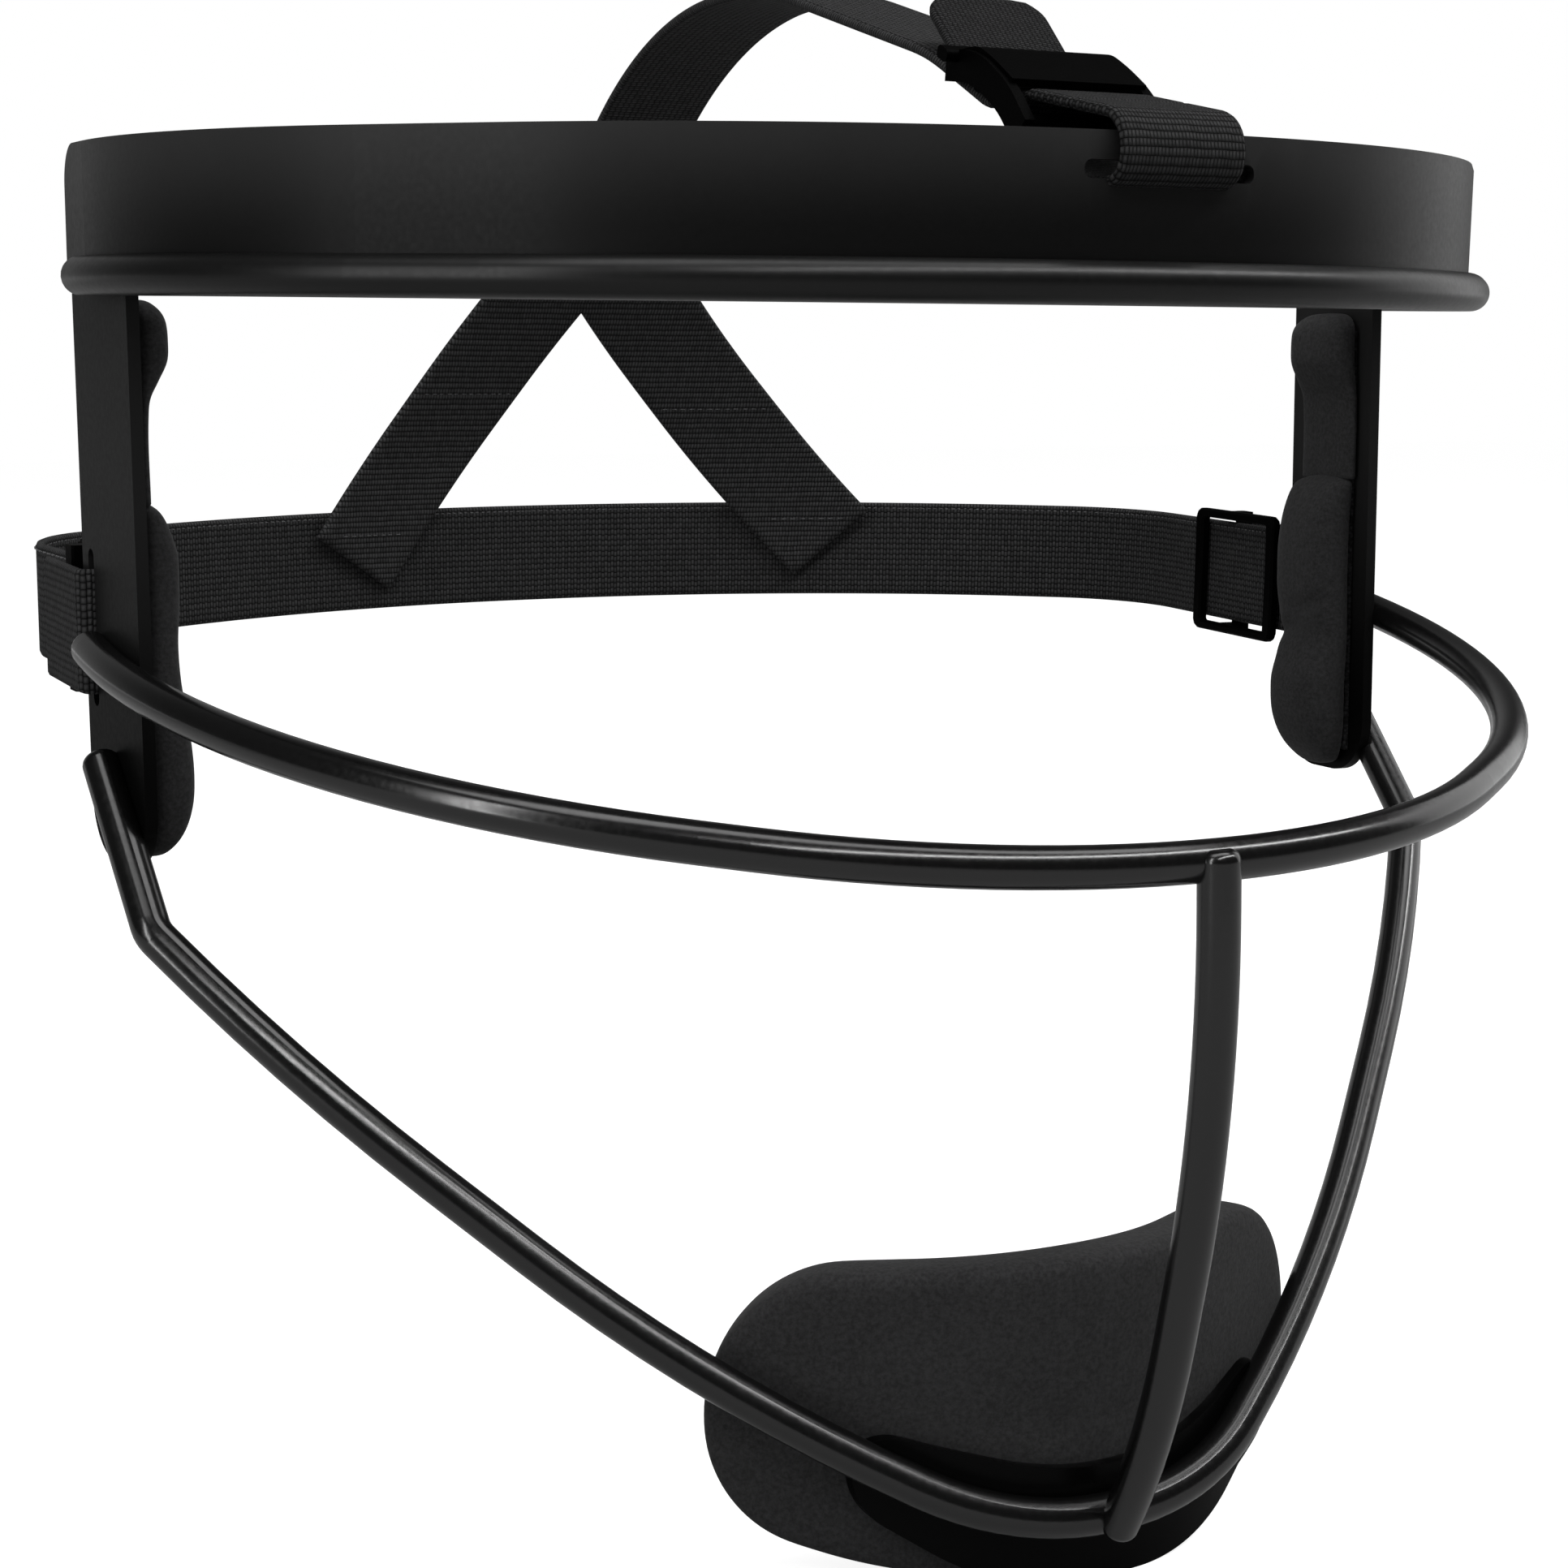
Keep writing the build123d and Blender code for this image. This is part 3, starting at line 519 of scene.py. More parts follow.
def hook_tape(name, dark, light):
    """Hook-and-loop layer: dense rows of tiny loops, dark between them."""
    material, tree, shader, place = new_material(name)
    loops = node(tree, "ShaderNodeTexVoronoi",
                 {"Vector": place, "Scale": 1800.0}).outputs["Distance"]
    fluff = noise(tree, place, scale=900.0)
    feed(tree, shader, {
        "Base Color": ramp(tree, loops, light, dark, low=0.1, high=0.7),
        "Roughness": spread(tree, fluff, 0.8, 0.98),
        "Specular IOR Level": 0.1,
        "Normal": bump(tree, loops, 0.2)})
    return material


def thread(name, dark, light):
    """Sewing thread: two plies that wind round each other."""
    material, tree, shader, place = new_material(name)
    ply = node(tree, "ShaderNodeTexWave", {"Vector": place, "Scale": 1400.0, "Distortion": 1.5},
               bands_direction="DIAGONAL").outputs["Fac"]
    feed(tree, shader, {
        "Base Color": ramp(tree, ply, dark, light, low=0.1, high=0.9),
        "Roughness": spread(tree, ply, 0.5, 0.7),
        "Normal": bump(tree, ply, 0.05)})
    return material


# The brow and side plates carry painted shade: darker low down by the brow tube and the cheek
# hoop, paler higher up.
BROW_PAINT = paint("brow_paint", grey(0.0016), grey(0.0022), rough=0.42, specular=0.12,
                   grain=0.003, painted_shade=(1.0, 17.0, 11.0))
SIDE_PAINT = paint("side_paint", grey(0.0012), grey(0.0017), rough=0.45, specular=0.03,
                   grain=0.003, painted_shade=(-66.0, -22.0, 8.0))
CHIN_PAINT = paint("chin_plate_paint", grey(0.0010), grey(0.0015), rough=0.30, specular=0.05,
                   grain=0.003)
TUBE_PAINT = paint("tube_paint", grey(0.0018), grey(0.0026), rough=0.36, specular=0.26,
                   grain=0.004, edge_from=0.84)
BAR_PAINT = paint("bar_paint", grey(0.0016), grey(0.0024), rough=0.20, specular=0.55,
                  grain=0.002, edge_from=0.84)
SUEDE = suede("pad_suede", grey(0.014, 0.0142), grey(0.026, 0.0266))
WEAVE = webbing("strap_weave", grey(0.0008), grey(0.034, 0.0347), pitch=0.56, rows=0.92)
LEG_WEAVE = webbing("leg_weave", grey(0.0011), grey(0.040, 0.041), pitch=0.86, rows=0.52)
LOOP_WEAVE = webbing("loop_weave", grey(0.0010), grey(0.027, 0.0275), pitch=0.66, rows=0.46)
TAIL_WEAVE = webbing("tail_weave", grey(0.001), grey(0.022, 0.0225), pitch=0.40, rows=0.62,
                     slant=0.25)
PLASTIC = plastic("adjuster_plastic", grey(0.0003), grey(0.0006), rough=0.55)
TAPE = hook_tape("hook_and_loop", grey(0.004), grey(0.02, 0.021))
THREAD = thread("seam_thread", grey(0.03, 0.031), grey(0.085, 0.088))


# Carried-over rigid nodes

def dress(material, slot, *names):
    """Nodes take their finish; the slot given is not used."""
    for name in names:
        nodes[name].data.materials.clear()
        nodes[name].data.materials.append(material)


def soften(name, width, sharper_than=50):
    """Rounded edges from a modifier, the node's own mesh left as it is."""
    bevel = nodes[name].modifiers.new("edges", "BEVEL")
    bevel.width = width * MM
    bevel.segments = 2
    bevel.limit_method = "ANGLE"
    bevel.angle_limit = math.radians(sharper_than)


dress(BROW_PAINT, "plate", "brow_plate")
dress(SIDE_PAINT, "plate", "side_plate_left", "side_plate_right")
dress(TUBE_PAINT, "bar", "brow_bar")
dress(BAR_PAINT, "bar", "cheek_hoop", "jaw_bar", "center_bar")
dress(CHIN_PAINT, "chin_plate", "chin_plate")
dress(PLASTIC, "adjuster", "top_adjuster")
soften("side_plate_left", 0.35)
soften("side_plate_right", 0.35)


# Webbing

def web_section(columns=16, selvedge_angles=(0.8, math.pi / 2, 2.34)):
    """Points round a strap's section, across and through, with rounded selvedges."""
    r = WEB_T / 2
    flat = WEB_W / 2 - r
    top = [(-flat + 2 * flat * i / columns, r) for i in range(columns + 1)]
    right = [(flat + r * math.sin(a), r * math.cos(a)) for a in selvedge_angles]
    return top + right + [(-x, -z) for x, z in top + right]


def normal_at(surface, distance, across, probe=0.05):
    """Unit normal of a surface that is a function of the distances along and across."""
    forth = surface(distance + probe, across) - surface(distance - probe, across)
    sideways = surface(distance, across + probe) - surface(distance, across - probe)
    return forth.cross(sideways).normalized()


def band(name, surface, length, material, stands_for, body="mask", lift=0.0, width_at=None,
         step=1.0, level=False, end_thin=0.72):
    """A strap on a surface, its cut ends pressed a little thinner.

    Level lets the weave follow the part's frame and not the strap's run."""
    section = web_section()
    count = max(2, round(length / step))
    vertices, weave = [], []
    for number in range(count + 1):
        distance = length * number / count
        narrow = width_at(distance) if width_at else 1.0
        thin = end_thin if number in (0, count) else 1.0
        for across, through in section:
            across *= narrow
            here = surface(distance, across)
            rise = through * thin + lift
            vertices.append(here + normal_at(surface, distance, across) * rise)
            weave.append((here.z, here.x) if level else (distance, across))
    faces = tube_faces(count + 1, len(section))
    return piece(name, vertices, faces, material, stands_for, body, weave=weave)


def strip_surface(path, lay):
    """A surface that stands upright on a route in a tipped plane, and its length."""
    point, total = along(path)

    def surface(distance, across):
        return lay(*point(distance), across)
    return surface, total


def side_view_surface(path, shift=0.0):
    """A surface across the mid-plane on a route that lies in side view, and its length."""
    point, total = along(path)

    def surface(distance, across):
        return Vector((shift + across, *point(distance)))
    return surface, total


strap_lay = tilted(STRAP_TILT, STRAP_Z)
strap_full = mirrored(STRAP_ROUTE)
strap_radii = bend_radii(strap_full, STRAP_REACHES + STRAP_REACHES[::-1])
strap_surface, strap_length = strip_surface(rounded(strap_full, strap_radii), strap_lay)
band("back_strap_webbing", strap_surface, strap_length, WEAVE, "back_strap")


def slot_fold(name):
    """The strap's end: out through the side plate's slot and back outside to the slider."""
    side = side_of(name)
    points = [(side * x, y) for x, y in FOLD_ROUTE]
    path = rounded(points, [FOLD_BEND_R, FOLD_BEND_R], step=0.3)
    surface, length = strip_surface(path, strap_lay)
    fold = band(name + "_webbing", surface, length, WEAVE, name, body=None, step=0.5)
    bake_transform(fold)


slot_fold("slot_fold_left")
slot_fold("slot_fold_right")


# Crown legs and the top strap

DIP_RUN = Vector((math.cos(math.radians(DIP_ANGLE)), math.sin(math.radians(DIP_ANGLE))))


def on_dip(distance, above):
    """Side-view point on the top strap's dipping run, from the adjuster's middle bar."""
    return (DIP[0] + DIP_RUN.x * (distance - WRAP_AT) - DIP_RUN.y * above,
            DIP[1] + DIP_RUN.y * (distance - WRAP_AT) + DIP_RUN.x * above)


crown_radii = bend_radii([on_dip(0, 0), *CROWN], CROWN_REACHES)
crown_path = rounded(CROWN[1:], crown_radii[2:])
crown_fall = [point for point in crown_path if point.x > CROWN_FALLS_FROM]
crown_axis_y = STRAP_ROUTE[2][1] - strap_radii[1]


def crown_y(height):
    """How far back the crown's profile lies in the mid-plane at a height."""
    for a, b in zip(crown_fall, crown_fall[1:]):
        if b.y <= height <= a.y:
            return a.lerp(b, (a.y - height) / max(a.y - b.y, TINY)).x
    return crown_fall[-1].x if height < 0 else crown_fall[0].x


def crown_leg(name, low, top):
    """A slanting strap on the shell that is turned about the back strap's upright axis."""
    low, top = Vector(low), Vector(top)
    run = (top - low).normalized()
    side = Vector((-run.y, run.x))

    def surface(distance, across):
        flat = low + run * distance + side * across
        radius = crown_y(flat.y) - crown_axis_y
        out = min(abs(flat.x), radius * LEG_WIDEST_SHARE)
        return Vector((flat.x, crown_axis_y + math.sqrt(radius ** 2 - out ** 2), flat.y))

    def at_height(height, across):
        """Point on the strap's face at a height, for a row of stitches that lies level."""
        return surface((height - low.y - side.y * across) / run.y, across)

    length = (top - low).length + LEG_REACH
    band(name + "_webbing", surface, length, LEG_WEAVE, name, level=True)
    return at_height


right_leg_at = crown_leg("crown_strap_right", *RIGHT_LEG)
left_leg_at = crown_leg("crown_strap_left", *LEFT_LEG)

top_route = [on_dip(WRAP_END, LAP), on_dip(WRAP_DROP, OVER_BAR), on_dip(WRAP_FRONT, OVER_BAR),
             on_dip(WRAP_FRONT, 0), *CROWN]
top_path = rounded(top_route, [WRAP_BEND_R] * 3 + crown_radii, step=0.8)
top_surface, top_length = side_view_surface(top_path)
top_cut = next(distance for distance in range(round(top_length / 2), round(top_length))
               if top_surface(distance, 0).z < CROWN_JOIN_Z)
band("top_strap_webbing", top_surface, top_cut, WEAVE, "top_strap")

tail_route = [on_dip(WRAP_DROP, OVER_BAR), on_dip(WRAP_END, LAP), on_dip(TAIL_LIFT_AT, LAP),
              on_dip(TAIL_TIP_AT, TAIL_TIP_RISE)]
tail_surface, tail_length = side_view_surface(rounded(tail_route, TAIL_BEND_RADII, step=0.5))


def tail_width(distance):
    """Share of the webbing's width, for rounded corners at the tail's tip."""
    left = tail_length - distance
    if left > TAIL_CORNER:
        return 1.0
    drop = TAIL_CORNER - math.sqrt(max(TAIL_CORNER ** 2 - (TAIL_CORNER - left) ** 2, 0.0))
    return 1 - drop / (WEB_W / 2)


tail = band("top_tail_webbing", tail_surface, tail_length, TAIL_WEAVE, "top_strap_tail",
            body=None, width_at=tail_width, step=0.6)
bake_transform(tail)

loop_start = (Vector(LOOP_OUTER[0]) + Vector(LOOP_OUTER[1])) / 2
loop_route = [loop_start, *LOOP_OUTER[1:], LOOP_OUTER[0], loop_start]
loop_path = rounded(loop_route, bend_radii(loop_route, LOOP_REACHES), step=0.4)
loop_surface, loop_length = side_view_surface(loop_path, LOOP_X)
band("front_loop_webbing", loop_surface, loop_length - LOOP_OPEN, LOOP_WEAVE, "front_loop",
     lift=-WEB_T / 2, step=0.6)


# Sliders on the back strap

def rounded_box(low, high, radius, count=96):
    """Outline of a rounded box with a set number of even points."""
    (x0, y0), (x1, y1) = low, high
    route = [(x1, 0), (x1, y1), (x0, y1), (x0, y0), (x1, y0), (x1, 0)]
    path = rounded(route, [radius] * 4, step=0.4)
    length = sum(run.length for run in runs_of(path))
    return evenly(path, length / count)[0][:count]


def ring_form(outer, inner, half, edge, place):
    """A flat ring between two outlines with as many points, its edges bevelled."""
    count = len(outer)

    def moved(outline, shift, height):
        middle = sum(outline, Vector((0, 0))) / count
        return [place(p + (p - middle).normalized() * shift, height) for p in outline]
    levels = [(edge, -half), (0, edge - half), (0, half - edge), (edge, half)]
    rings = [moved(outer, -shift, height) for shift, height in levels]
    rings += [moved(inner, shift, height) for shift, height in reversed(levels)]
    vertices = [vertex for ring in rings for vertex in ring]
    faces = []
    for r in range(len(rings)):
        here, there = r * count, (r + 1) % len(rings) * count
        faces += [(here + c, here + (c + 1) % count, there + (c + 1) % count, there + c)
                  for c in range(count)]
    return vertices, faces


def bar_form(corner, opposite, place, first):
    """A plain bar between two opposite corners, its long edges bevelled."""
    (s0, u0, n0), (s1, u1, n1) = corner, opposite
    section = bevelled(s0, n0, s1, n1, BAR_EDGE)
    vertices = [place(Vector((s, u)), n) for u in (u0, u1) for s, n in section]
    faces = [tuple(first + v for v in face) for face in tube_faces(2, len(section))]
    return vertices, faces


def slider(name):
    """Ladder slider: a long rounded frame inside the strap, its middle bar outside."""
    side = side_of(name)
    origin = strap_lay(*SLIDER_AT, 0)
    run = (strap_lay(*STRAP_ROUTE[1], 0) - strap_lay(*STRAP_ROUTE[0], 0)).normalized()
    up = strap_lay(0, 0, 1) - strap_lay(0, 0, 0)
    inward = up.cross(run)
    half = SLIDER_T / 2
    level = WEB_T / 2 + GAP + half

    def place(flat, depth):
        point = origin + run * flat.x + up * flat.y + inward * depth
        return Vector((side * point.x, point.y, point.z))

    def frame_place(flat, depth):
        return place(flat, level + depth)

    outer = rounded_box(*SLIDER_OUTER, SLIDER_OUTER_R)
    inner = rounded_box(*SLIDER_INNER, SLIDER_INNER_R)
    vertices, faces = ring_form(outer, inner, half, SLIDER_EDGE, frame_place)
    bar_s, bar_u = SLIDER_BAR
    leg_u = SLIDER_INNER[1][1]
    for corner, opposite in (((-bar_s, -bar_u, -level - half), (bar_s, bar_u, -level + half)),
                             ((-SLIDER_LEG, -bar_u, -level), (SLIDER_LEG, -leg_u, level)),
                             ((-SLIDER_LEG, leg_u, -level), (SLIDER_LEG, bar_u, level))):
        more, more_faces = bar_form(corner, opposite, place, len(vertices))
        vertices += more
        faces += more_faces
    piece(name + "_frame", vertices, faces, PLASTIC, name, body=name, smooth=False)


slider("back_adjuster_left")
slider("back_adjuster_right")


# Stitches

def stitch_row(name, point_at, length, pitch=2.1, gap=0.45, radius=0.13, sides=6, rings=5):
    """A row of short thread lengths, each dipping into the weave at its ends."""
    arch, sunk, end_thin = 1.5, 0.4, 0.55
    vertices, faces = [], []
    count = max(1, round(length / pitch))
    for number in range(count):
        start = length * number / count + gap / 2
        end = length * (number + 1) / count - gap / 2
        first = len(vertices)
        for r in range(rings):
            share = r / (rings - 1)
            here, normal, forth = point_at(start + (end - start) * share)
            sideways = forth.cross(normal).normalized()
            bow = math.sin(math.pi * share)
            rise = radius * (arch * bow - sunk)
            thin = radius * (end_thin + (1 - end_thin) * bow)
            for c, s in whole_turn(sides):
                vertices.append(here + normal * (rise + thin * s) + sideways * (thin * c))
        faces += [tuple(first + v for v in face) for face in tube_faces(rings, sides)]
    piece(name, vertices, faces, THREAD)


def on_face(place, lift):
    """Point, outward normal and direction on a strap's face, for a row along one number."""
    def point_at(value):
        here, run, across = place(value)
        normal = run.cross(across).normalized()
        return here + normal * lift, normal, run.normalized()
    return point_at


def level_row(name, leg_at, height, half, lift, probe=0.05):
    """Stitches that cross a crown leg level at a height."""
    def place(value):
        across = value - half
        here = leg_at(height, across)
        return here, leg_at(height, across + probe) - here, leg_at(height + probe, across) - here
    stitch_row(name, on_face(place, lift), 2 * half)


def edge_row(name, surface, length, across, lift, probe=0.05):
    """Stitches that run along a strap near its edge."""
    def place(value):
        here = surface(value, across)
        return here, surface(value + probe, across) - here, surface(value, across + probe) - here
    stitch_row(name, on_face(place, lift), length)


EDGE_INSET = 0.9
# Height and half length of the level rows on each crown leg
LEG_ROWS = [("right", right_leg_at, -14.7, 6.6), ("right", right_leg_at, -37.5, 4.5),
            ("left", left_leg_at, -17.4, 6.6), ("left", left_leg_at, -36.5, 4.5)]

for row, lift in (("inner", WEB_T / 2), ("outer", -WEB_T / 2)):
    edge_row("back_strap_stitches_" + row, strap_surface, strap_length,
             WEB_W / 2 - EDGE_INSET, lift)
for hand, leg_at, height, half in LEG_ROWS:
    for row, lift in (("front", WEB_T / 2), ("rear", -WEB_T / 2)):
        level_row("leg_stitches_%s_%d_%s" % (hand, -height, row), leg_at, height, half, lift)


# Pads

def pad_route(route, reaches, base, step=0.8):
    """A function for points at a distance from a bar's bent route, on its inner side."""
    full = mirrored(route)
    radii = bend_radii(full, reaches + reaches[::-1])
    even, total = evenly(rounded(full, radii, step), step)
    pace = total / (len(even) - 1)

    def point(distance, depth):
        at, here = step_at(even, pace, distance)
        run = (even[min(at + 2, len(even) - 1)] - even[max(at - 1, 0)]).normalized()
        return here + Vector((run.y, -run.x)) * (base + depth)
    return point, total


brow_lay = tilted(BROW_TILT, 0.0)


def foam(name, vertices, rows, columns):
    """A pad from its rings of points, smoothed once."""
    obj = piece(name + "_foam", vertices, tube_faces(rows, columns), SUEDE, name)
    smooth = obj.modifiers.new("smooth", "SUBSURF")
    smooth.levels = 1
    smooth.render_levels = 1


def brow_pad():
    """Long foam pad round the brow: crowned inside, its top lowered under the front loop."""
    point, total = pad_route(BROW_ROUTE, BROW_REACHES, BROW_BASE)
    thick, low, top, end_y = 9.6, -2.2, 14.9, -27.2
    notch_half, notch_top, notch_slope = 8.6, 7.0, 3.0
    end_share, end_from, end_to = 0.7, -1.5, 5.0
    up_power, deep_power, hollow = 0.55, 0.6, 0.10
    rows, around = 180, 28
    distances = [total * i / rows for i in range(rows + 1)]
    distances = [distance for distance in distances if point(distance, 0).y < end_y]
    vertices = []
    for distance in distances:
        inset = min(distance - distances[0], distances[-1] - distance)
        full = math.sqrt(eased(inset, end_from, end_to))
        beside = eased(abs(point(distance, 0).x), notch_half, notch_half + notch_slope)
        crest = notch_top + (top - notch_top) * beside
        middle = (low + crest) / 2
        half = (crest - low) / 2 * (end_share + (1 - end_share) * full)
        for c, s in whole_turn(around):
            up = middle + half * squared(s, up_power)
            depth = thick * full * (1 - squared(c, deep_power)) / 2
            depth *= 1 - hollow * (abs(up - middle) / half) ** 2
            flat = point(distance, depth)
            vertices.append(brow_lay(flat.x, flat.y, up))
    foam("brow_pad", vertices, len(distances), around)


def chin_pad():
    """Broad chin pad bent like the jaw bar: flat on its plate, crowned towards the chin."""
    point, total = pad_route(CHIN_ROUTE, CHIN_REACHES, CHIN_BASE)
    half, top, side_z, low_x, low_z = 50.3, -118.3, -148.0, 26.0, -155.0
    thick, flat_depth = 10.0, 9.2
    crest, crest_from = 1.7, -135.0
    corners = [(low_x, low_z), (half, side_z), (half, top),
               (-half, top), (-half, side_z), (-low_x, low_z)]
    reaches = [0.4, 0.46, 0.58, 0.58, 0.46, 0.4]
    outline = closed_outline(corners, reaches, step=2.0)
    centre = Vector((0.0, (top + low_z) / 2))
    runs = [outline[(i + 1) % len(outline)] - outline[i - 1] for i in range(len(outline))]
    normals = [Vector((run.y, -run.x)).normalized() for run in runs]
    rim = [Vector((p.x, p.y + crest * (1 - (p.x / half) ** 2) * eased(p.y, crest_from, top)))
           for p in outline]
    if normals[0].dot(centre - rim[0]) < 0:
        normals = [-normal for normal in normals]

    def across(share, ring, rise):
        """A ring drawn in towards the pad's middle, risen by its crown."""
        return [(centre.lerp(p, share), depth + rise * (1 - share ** 2)) for p, depth in ring]

    # Inset and depth of the rings, from the front face round the rim to the inner face
    front = [(2.2, 0.0), (0.9, 0.3), (0.2, 1.2), (0.0, 2.6)]
    rear = [(0.0, 5.2), (0.3, 6.8), (1.0, 8.0), (2.4, 8.7), (5.0, flat_depth)]
    edge = [[(p + normal * inset, depth) for p, normal in zip(rim, normals)]
            for inset, depth in front + rear]
    shares = [0.05, 0.3, 0.55, 0.8]
    rings = [across(share, edge[0], 0.0) for share in shares] + edge
    rings += [across(share, edge[-1], thick - flat_depth) for share in reversed(shares)]
    vertices = []
    for ring in rings:
        for p, depth in ring:
            flat = point(total / 2 - p.x, depth)
            vertices.append(Vector((flat.x, flat.y, p.y)))
    foam("chin_pad", vertices, len(rings), len(outline))


def side_point(side, at, depth, height):
    """Point beside a flared side plate: along it, inward from it, and its height."""
    flare = math.radians(SIDE_FLARE)
    x = SIDE_FRONT[0] + math.sin(flare) * at - math.cos(flare) * depth
    y = SIDE_FRONT[1] + math.cos(flare) * at + math.sin(flare) * depth
    return Vector((side * x, y, height))


# Height and thickness of the pads on the side plates, from the top down
TEMPLE = [(-3.4, 2.4), (-5.2, 3.9), (-8.5, 4.5), (-11.0, 4.3), (-13.5, 2.9),
          (-15.5, 1.7), (-18.0, 1.3), (-28.6, 1.2)]
CHEEKS = {
    "right": [(-27.8, 1.0), (-29.5, 2.7), (-32.0, 4.0), (-35.5, 4.9), (-40.0, 4.8),
              (-46.0, 4.4), (-50.0, 4.6), (-56.0, 5.5), (-62.0, 6.0), (-67.0, 5.5),
              (-70.5, 4.0), (-72.6, 2.0)],
    "left": [(-27.8, 1.2), (-29.2, 3.0), (-32.0, 4.8), (-37.5, 6.2), (-44.0, 6.4),
             (-49.0, 5.7), (-52.0, 5.2), (-55.5, 6.1), (-60.0, 7.3), (-65.0, 6.9),
             (-69.5, 5.0), (-72.6, 2.2)]}
# Height of a crease at a pad's rear and front edge, and its depth
CREASES = {"cheek_pad_left": (-52.5, -46.5, 0.7)}


def smooth_table(table, value):
    """Value from a table of heights and sizes, on a curve through its rows."""
    slopes = [(b[1] - a[1]) / (b[0] - a[0]) for a, b in zip(table, table[1:])]
    inner = [(a + b) / 2 if a * b > 0 else 0.0 for a, b in zip(slopes, slopes[1:])]
    tangents = [slopes[0], *inner, slopes[-1]]
    rows = [(*row, tangent) for row, tangent in zip(table, tangents)]
    for (z0, t0, m0), (z1, t1, m1) in zip(rows, rows[1:]):
        if z1 <= value <= z0:
            h = z1 - z0
            u = (value - z0) / h
            return ((2 * u ** 3 - 3 * u ** 2 + 1) * t0 + (u ** 3 - 2 * u ** 2 + u) * h * m0
                    + (3 * u ** 2 - 2 * u ** 3) * t1 + (u ** 3 - u ** 2) * h * m1)
    return table[-1][1]


def crease_depth(name, at, height):
    """How deep a pad's slanting crease is at a place, if it has one."""
    if name not in CREASES:
        return 0.0
    rear_z, front_z, deep = CREASES[name]
    line = front_z + (rear_z - front_z) * eased(at, PAD_FRONT, PAD_REAR)
    return deep * math.exp(-(height - line) ** 2)


def side_pad(name, table, top_round, low_round):
    """Foam pad on a side plate, its thickness following the table, its ends rounded."""
    side = side_of(name)
    top, low = table[0][0], table[-1][0]
    base = PLATE_T + PAD_HUG
    middle = (PAD_FRONT + PAD_REAR) / 2
    end_share, along_power, deep_power = 0.30, 0.62, 0.7
    rows, around = 60, 26
    vertices = []
    for r in range(rows + 1):
        height = top + (low - top) * r / rows
        thick = smooth_table(table, height) + TAPE_T - PAD_HUG
        full = 1.0
        for inset, reach in ((top - height, top_round), (height - low, low_round)):
            if reach and inset < reach:
                full = min(full, math.sqrt(max(1 - (1 - inset / reach) ** 2, 0.0)))
        half = (PAD_REAR - PAD_FRONT) / 2 * (end_share + (1 - end_share) * full)
        for c, s in whole_turn(around):
            at = middle + half * squared(c, along_power)
            depth = base + thick * (1 + squared(s, deep_power)) / 2
            depth -= crease_depth(name, at, height) * math.sqrt(max(s, 0.0))
            vertices.append(side_point(side, at, depth, height))
    foam(name, vertices, rows + 1, around)


brow_pad()
chin_pad()
for hand in ("left", "right"):
    side_pad("temple_pad_" + hand, TEMPLE, top_round=3.0, low_round=0.0)
    side_pad("cheek_pad_" + hand, CHEEKS[hand], top_round=1.6, low_round=9.0)


# Hook-and-loop layers behind the pads

def tape_layer(name, stands_for, place_at, rows, width):
    """A thin layer along rows of distances or heights, its edges bevelled."""
    section = bevelled(-width / 2, 0, width / 2, TAPE_T, TAPE_EDGE)
    vertices = [place_at(row, across, depth) for row in rows for across, depth in section]
    faces = tube_faces(len(rows), len(section))
    piece(name, vertices, faces, TAPE, stands_for, smooth=False)


def brow_tape():
    """Layer behind the brow pad, lowered under the front loop."""
    point, total = pad_route(BROW_ROUTE, BROW_REACHES, PLATE_IN)
    width, middle, end_y = 11.2, 8.3, -28.3
    notch_half, notch_slope, notch_deep = 8.6, 1.0, 6.9
    count = 240
    top = middle + width / 2

    def place_at(distance, across, depth):
        flat = point(distance, depth)
        under_loop = 1 - eased(abs(flat.x), notch_half, notch_half + notch_slope)
        return brow_lay(flat.x, flat.y, min(middle + across, top - under_loop * notch_deep))
    rows = [total * i / count for i in range(count + 1)]
    rows = [row for row in rows if point(row, 0).y < end_y]
    tape_layer("brow_tape_layer", "brow_pad_tape", place_at, rows, width)


def chin_tape():
    """Layer between the chin plate and the chin pad."""
    point, total = pad_route(CHIN_ROUTE, CHIN_REACHES, PLATE_IN + CHIN_PLATE_T)
    width, middle, half_reach, count = 8.0, -147.0, 19.0, 90

    def place_at(distance, across, depth):
        flat = point(distance, depth)
        return Vector((flat.x, flat.y, middle + across))
    rows = [total * i / count for i in range(count + 1)]
    rows = [row for row in rows if abs(point(row, 0).x) < half_reach]
    tape_layer("chin_tape_layer", "chin_pad_tape", place_at, rows, width)


def side_tape(hand):
    """Layer between a side plate and its two pads."""
    side = side_of(hand)
    middle = (PAD_FRONT + PAD_REAR) / 2
    width, top, pitch, count = 11.6, -6.0, 4.0, 17

    def place_at(height, across, depth):
        return side_point(side, middle + across, PLATE_T + depth, height)
    rows = [top - pitch * i for i in range(count)]
    tape_layer("side_tape_layer_" + hand, "side_pad_tape_" + hand, place_at, rows, width)


brow_tape()
chin_tape()
side_tape("left")
side_tape("right")


# Camera, lights and surroundings

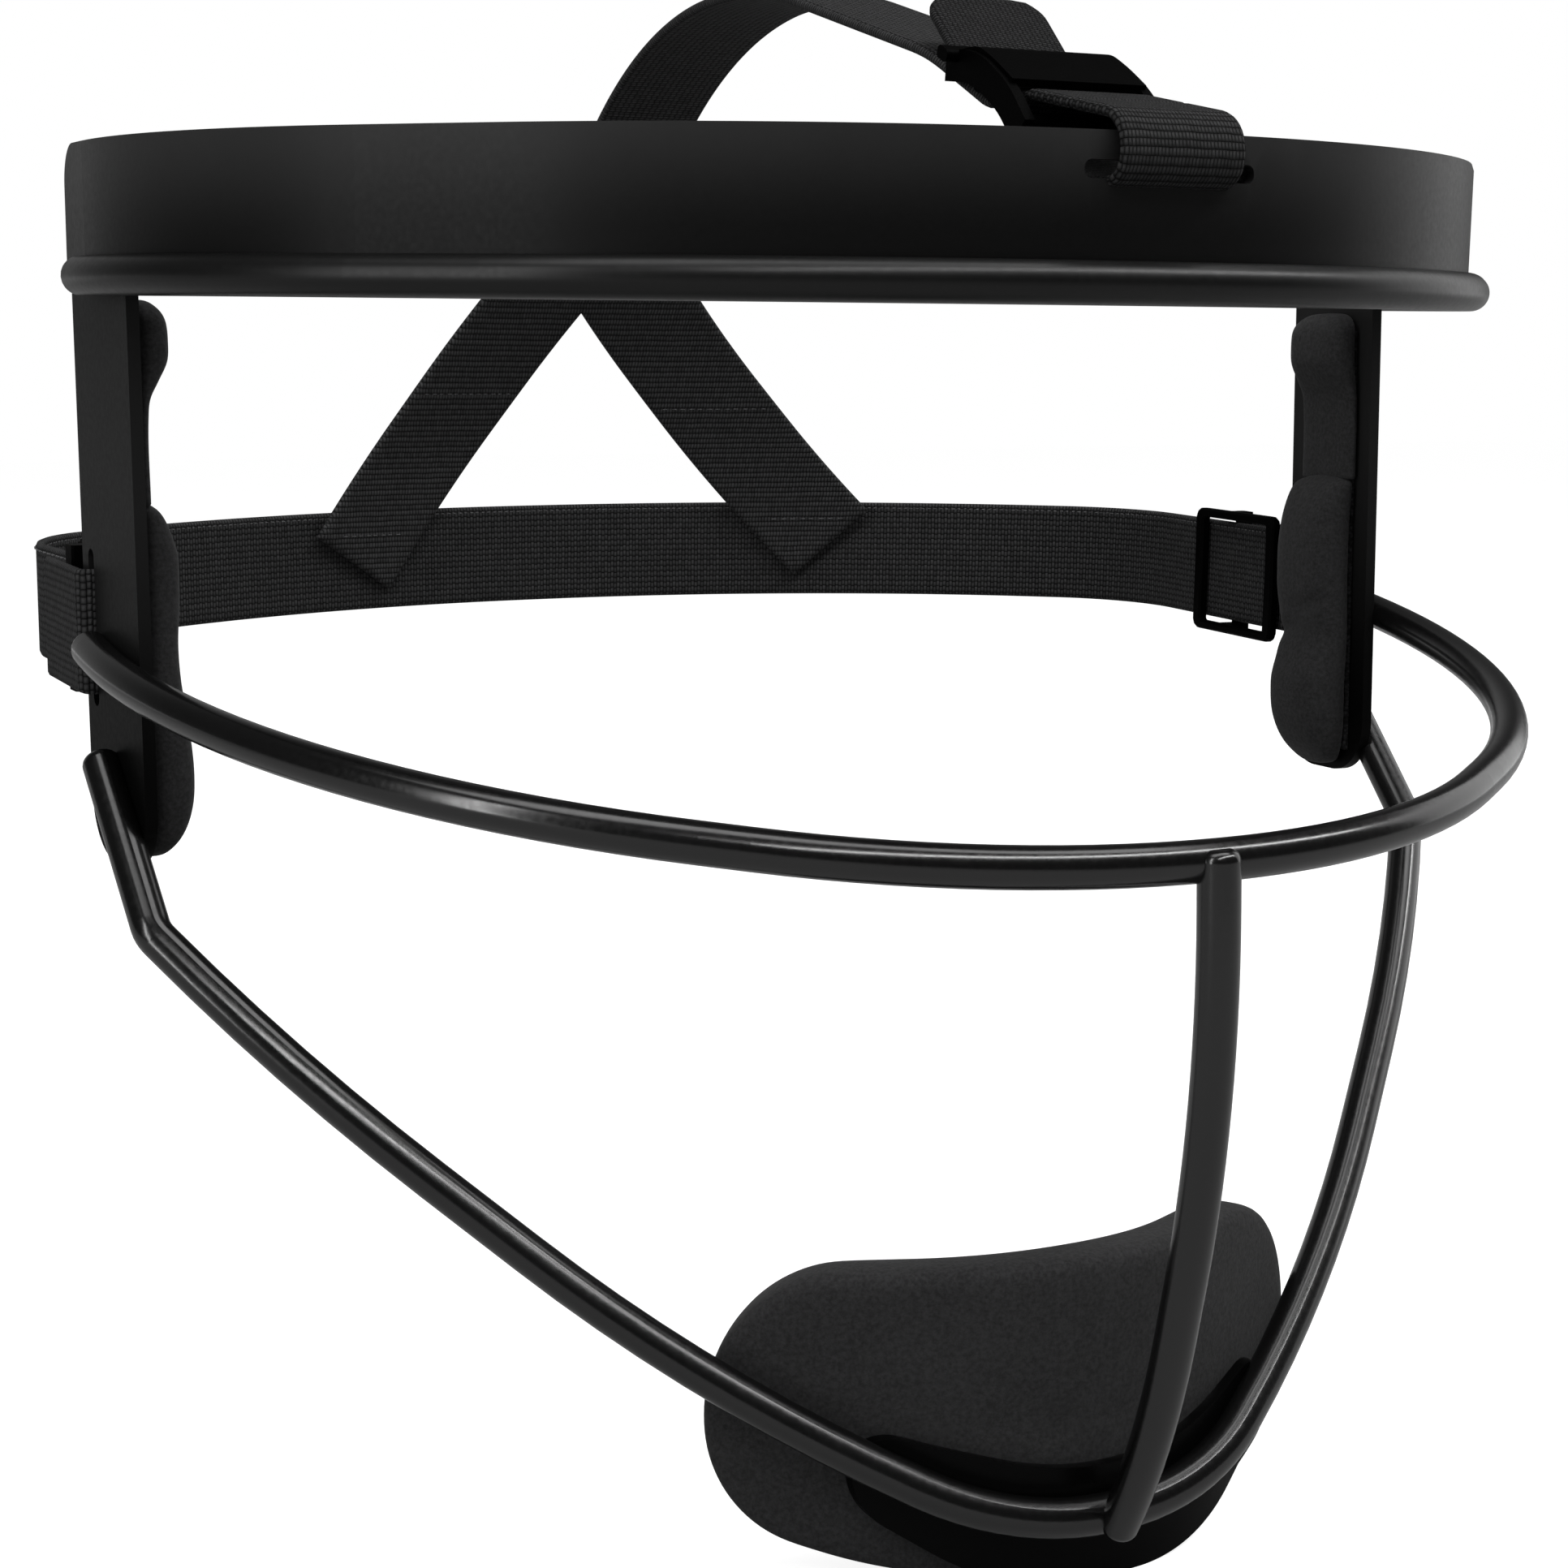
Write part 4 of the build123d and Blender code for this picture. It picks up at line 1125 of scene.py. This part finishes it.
def place_camera():
    """Camera at the photograph's viewpoint; its axes are unit vectors in the part's frame."""
    position = Vector((-170.79, -354.81, -15.67)) * MM
    right = Vector((0.8940, -0.4480, -0.0049))
    ahead = Vector((0.4429, 0.8853, -0.1415))
    ahead.normalize()
    right = (right - ahead * right.dot(ahead)).normalized()
    up = right.cross(ahead)
    data = bpy.data.cameras.new("camera")
    data.sensor_width = 36.0
    data.lens = 62.14
    data.clip_start = 0.02
    data.clip_end = 20.0
    camera = bpy.data.objects.new("camera", data)
    turn = Matrix((right, up, -ahead)).transposed()
    camera.matrix_world = Matrix.Translation(position) @ turn.to_4x4()
    bpy.context.scene.collection.objects.link(camera)
    bpy.context.scene.camera = camera


def area_light(name, position, target, width, height, power):
    """A rectangular lamp that faces a target."""
    data = bpy.data.lights.new(name, "AREA")
    data.shape = "RECTANGLE"
    data.size = width
    data.size_y = height
    data.energy = power
    light = bpy.data.objects.new(name, data)
    light.location = position
    light.rotation_euler = (Vector(target) - Vector(position)).to_track_quat("-Z", "Y").to_euler()
    bpy.context.scene.collection.objects.link(light)


def backdrop_seen(tree, place, near, far):
    """How bright the white backdrop is to a ray, and whether the ray can see it at all.

    The camera sees it fully everywhere. Mirrored rays see it grow as the place's Y goes from
    near to far, which is behind the object, and hardly at all in front of it."""
    faint = 0.05
    split = node(tree, "ShaderNodeSeparateXYZ", {0: place})
    behind = node(tree, "ShaderNodeMapRange", {
        "Value": split.outputs["Y"], "From Min": near, "From Max": far, "To Min": faint},
        interpolation_type="SMOOTHSTEP")
    rays = node(tree, "ShaderNodeLightPath").outputs
    direct = rays["Is Camera Ray"]
    bounced = calc(tree, "MAXIMUM", rays["Is Glossy Ray"], rays["Is Transmission Ray"])
    bright = calc(tree, "ADD", direct, calc(tree, "MULTIPLY", bounced, behind.outputs[0]))
    return bright, calc(tree, "MAXIMUM", direct, bounced)


def white_world(ambient=0.45, near=0.6, far=1.5):
    """World that is white behind the object and lights it from all sides at a low level."""
    world = bpy.data.worlds.new("world")
    bpy.context.scene.world = world
    world.use_nodes = True
    tree = world.node_tree
    tree.nodes.clear()
    place = node(tree, "ShaderNodeTexCoord").outputs["Generated"]
    bright, ray = backdrop_seen(tree, place, near, far)
    glow = calc(tree, "MULTIPLY", calc(tree, "SUBTRACT", 1.0, ray), ambient)
    light = node(tree, "ShaderNodeBackground", {
        "Color": (1, 1, 1, 1), "Strength": calc(tree, "ADD", bright, glow)})
    node(tree, "ShaderNodeOutputWorld", {0: light.outputs[0]})


def pale_floor(glow=0.86, shade=0.3, near=0.3, far=3.5, half=6.0):
    """Floor under the object: white to the camera, and it keeps the object's shadow."""
    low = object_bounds()[0].z
    corners = [(-half, -half, low), (half, -half, low), (half, half, low), (-half, half, low)]
    mesh = bpy.data.meshes.new("floor")
    mesh.from_pydata(corners, [], [(0, 1, 2, 3)])
    floor = bpy.data.objects.new("floor", mesh)
    bpy.context.scene.collection.objects.link(floor)
    material = bpy.data.materials.new("floor_white")
    material.use_nodes = True
    tree = material.node_tree
    tree.nodes.clear()
    place = node(tree, "ShaderNodeTexCoord").outputs["Object"]
    bright, _ = backdrop_seen(tree, place, near, far)
    diffuse = node(tree, "ShaderNodeBsdfDiffuse", {"Color": (*grey(shade), 1)})
    emission = node(tree, "ShaderNodeEmission", {"Strength": calc(tree, "MULTIPLY", bright, glow)})
    both = node(tree, "ShaderNodeAddShader", {0: diffuse.outputs[0], 1: emission.outputs[0]})
    node(tree, "ShaderNodeOutputMaterial", {0: both.outputs[0]})
    mesh.materials.append(material)


bpy.context.scene.view_settings.view_transform = "Standard"
place_camera()
white_world()
pale_floor()
# Place and target, width and height in metres, and power in watts
area_light("front_strip", (0.25, -0.75, 1.0), (0, -0.05, -0.06), 2.4, 0.12, 20.0)
area_light("top_light", (0.0, -0.1, 1.2), (0, -0.03, -0.05), 1.6, 0.5, 9.0)
area_light("left_strip", (-1.1, -0.35, 0.25), (0, -0.05, -0.06), 0.1, 1.2, 6.0)
area_light("right_soft", (1.3, 0.1, 0.3), (0, -0.03, -0.05), 1.0, 1.0, 4.0)
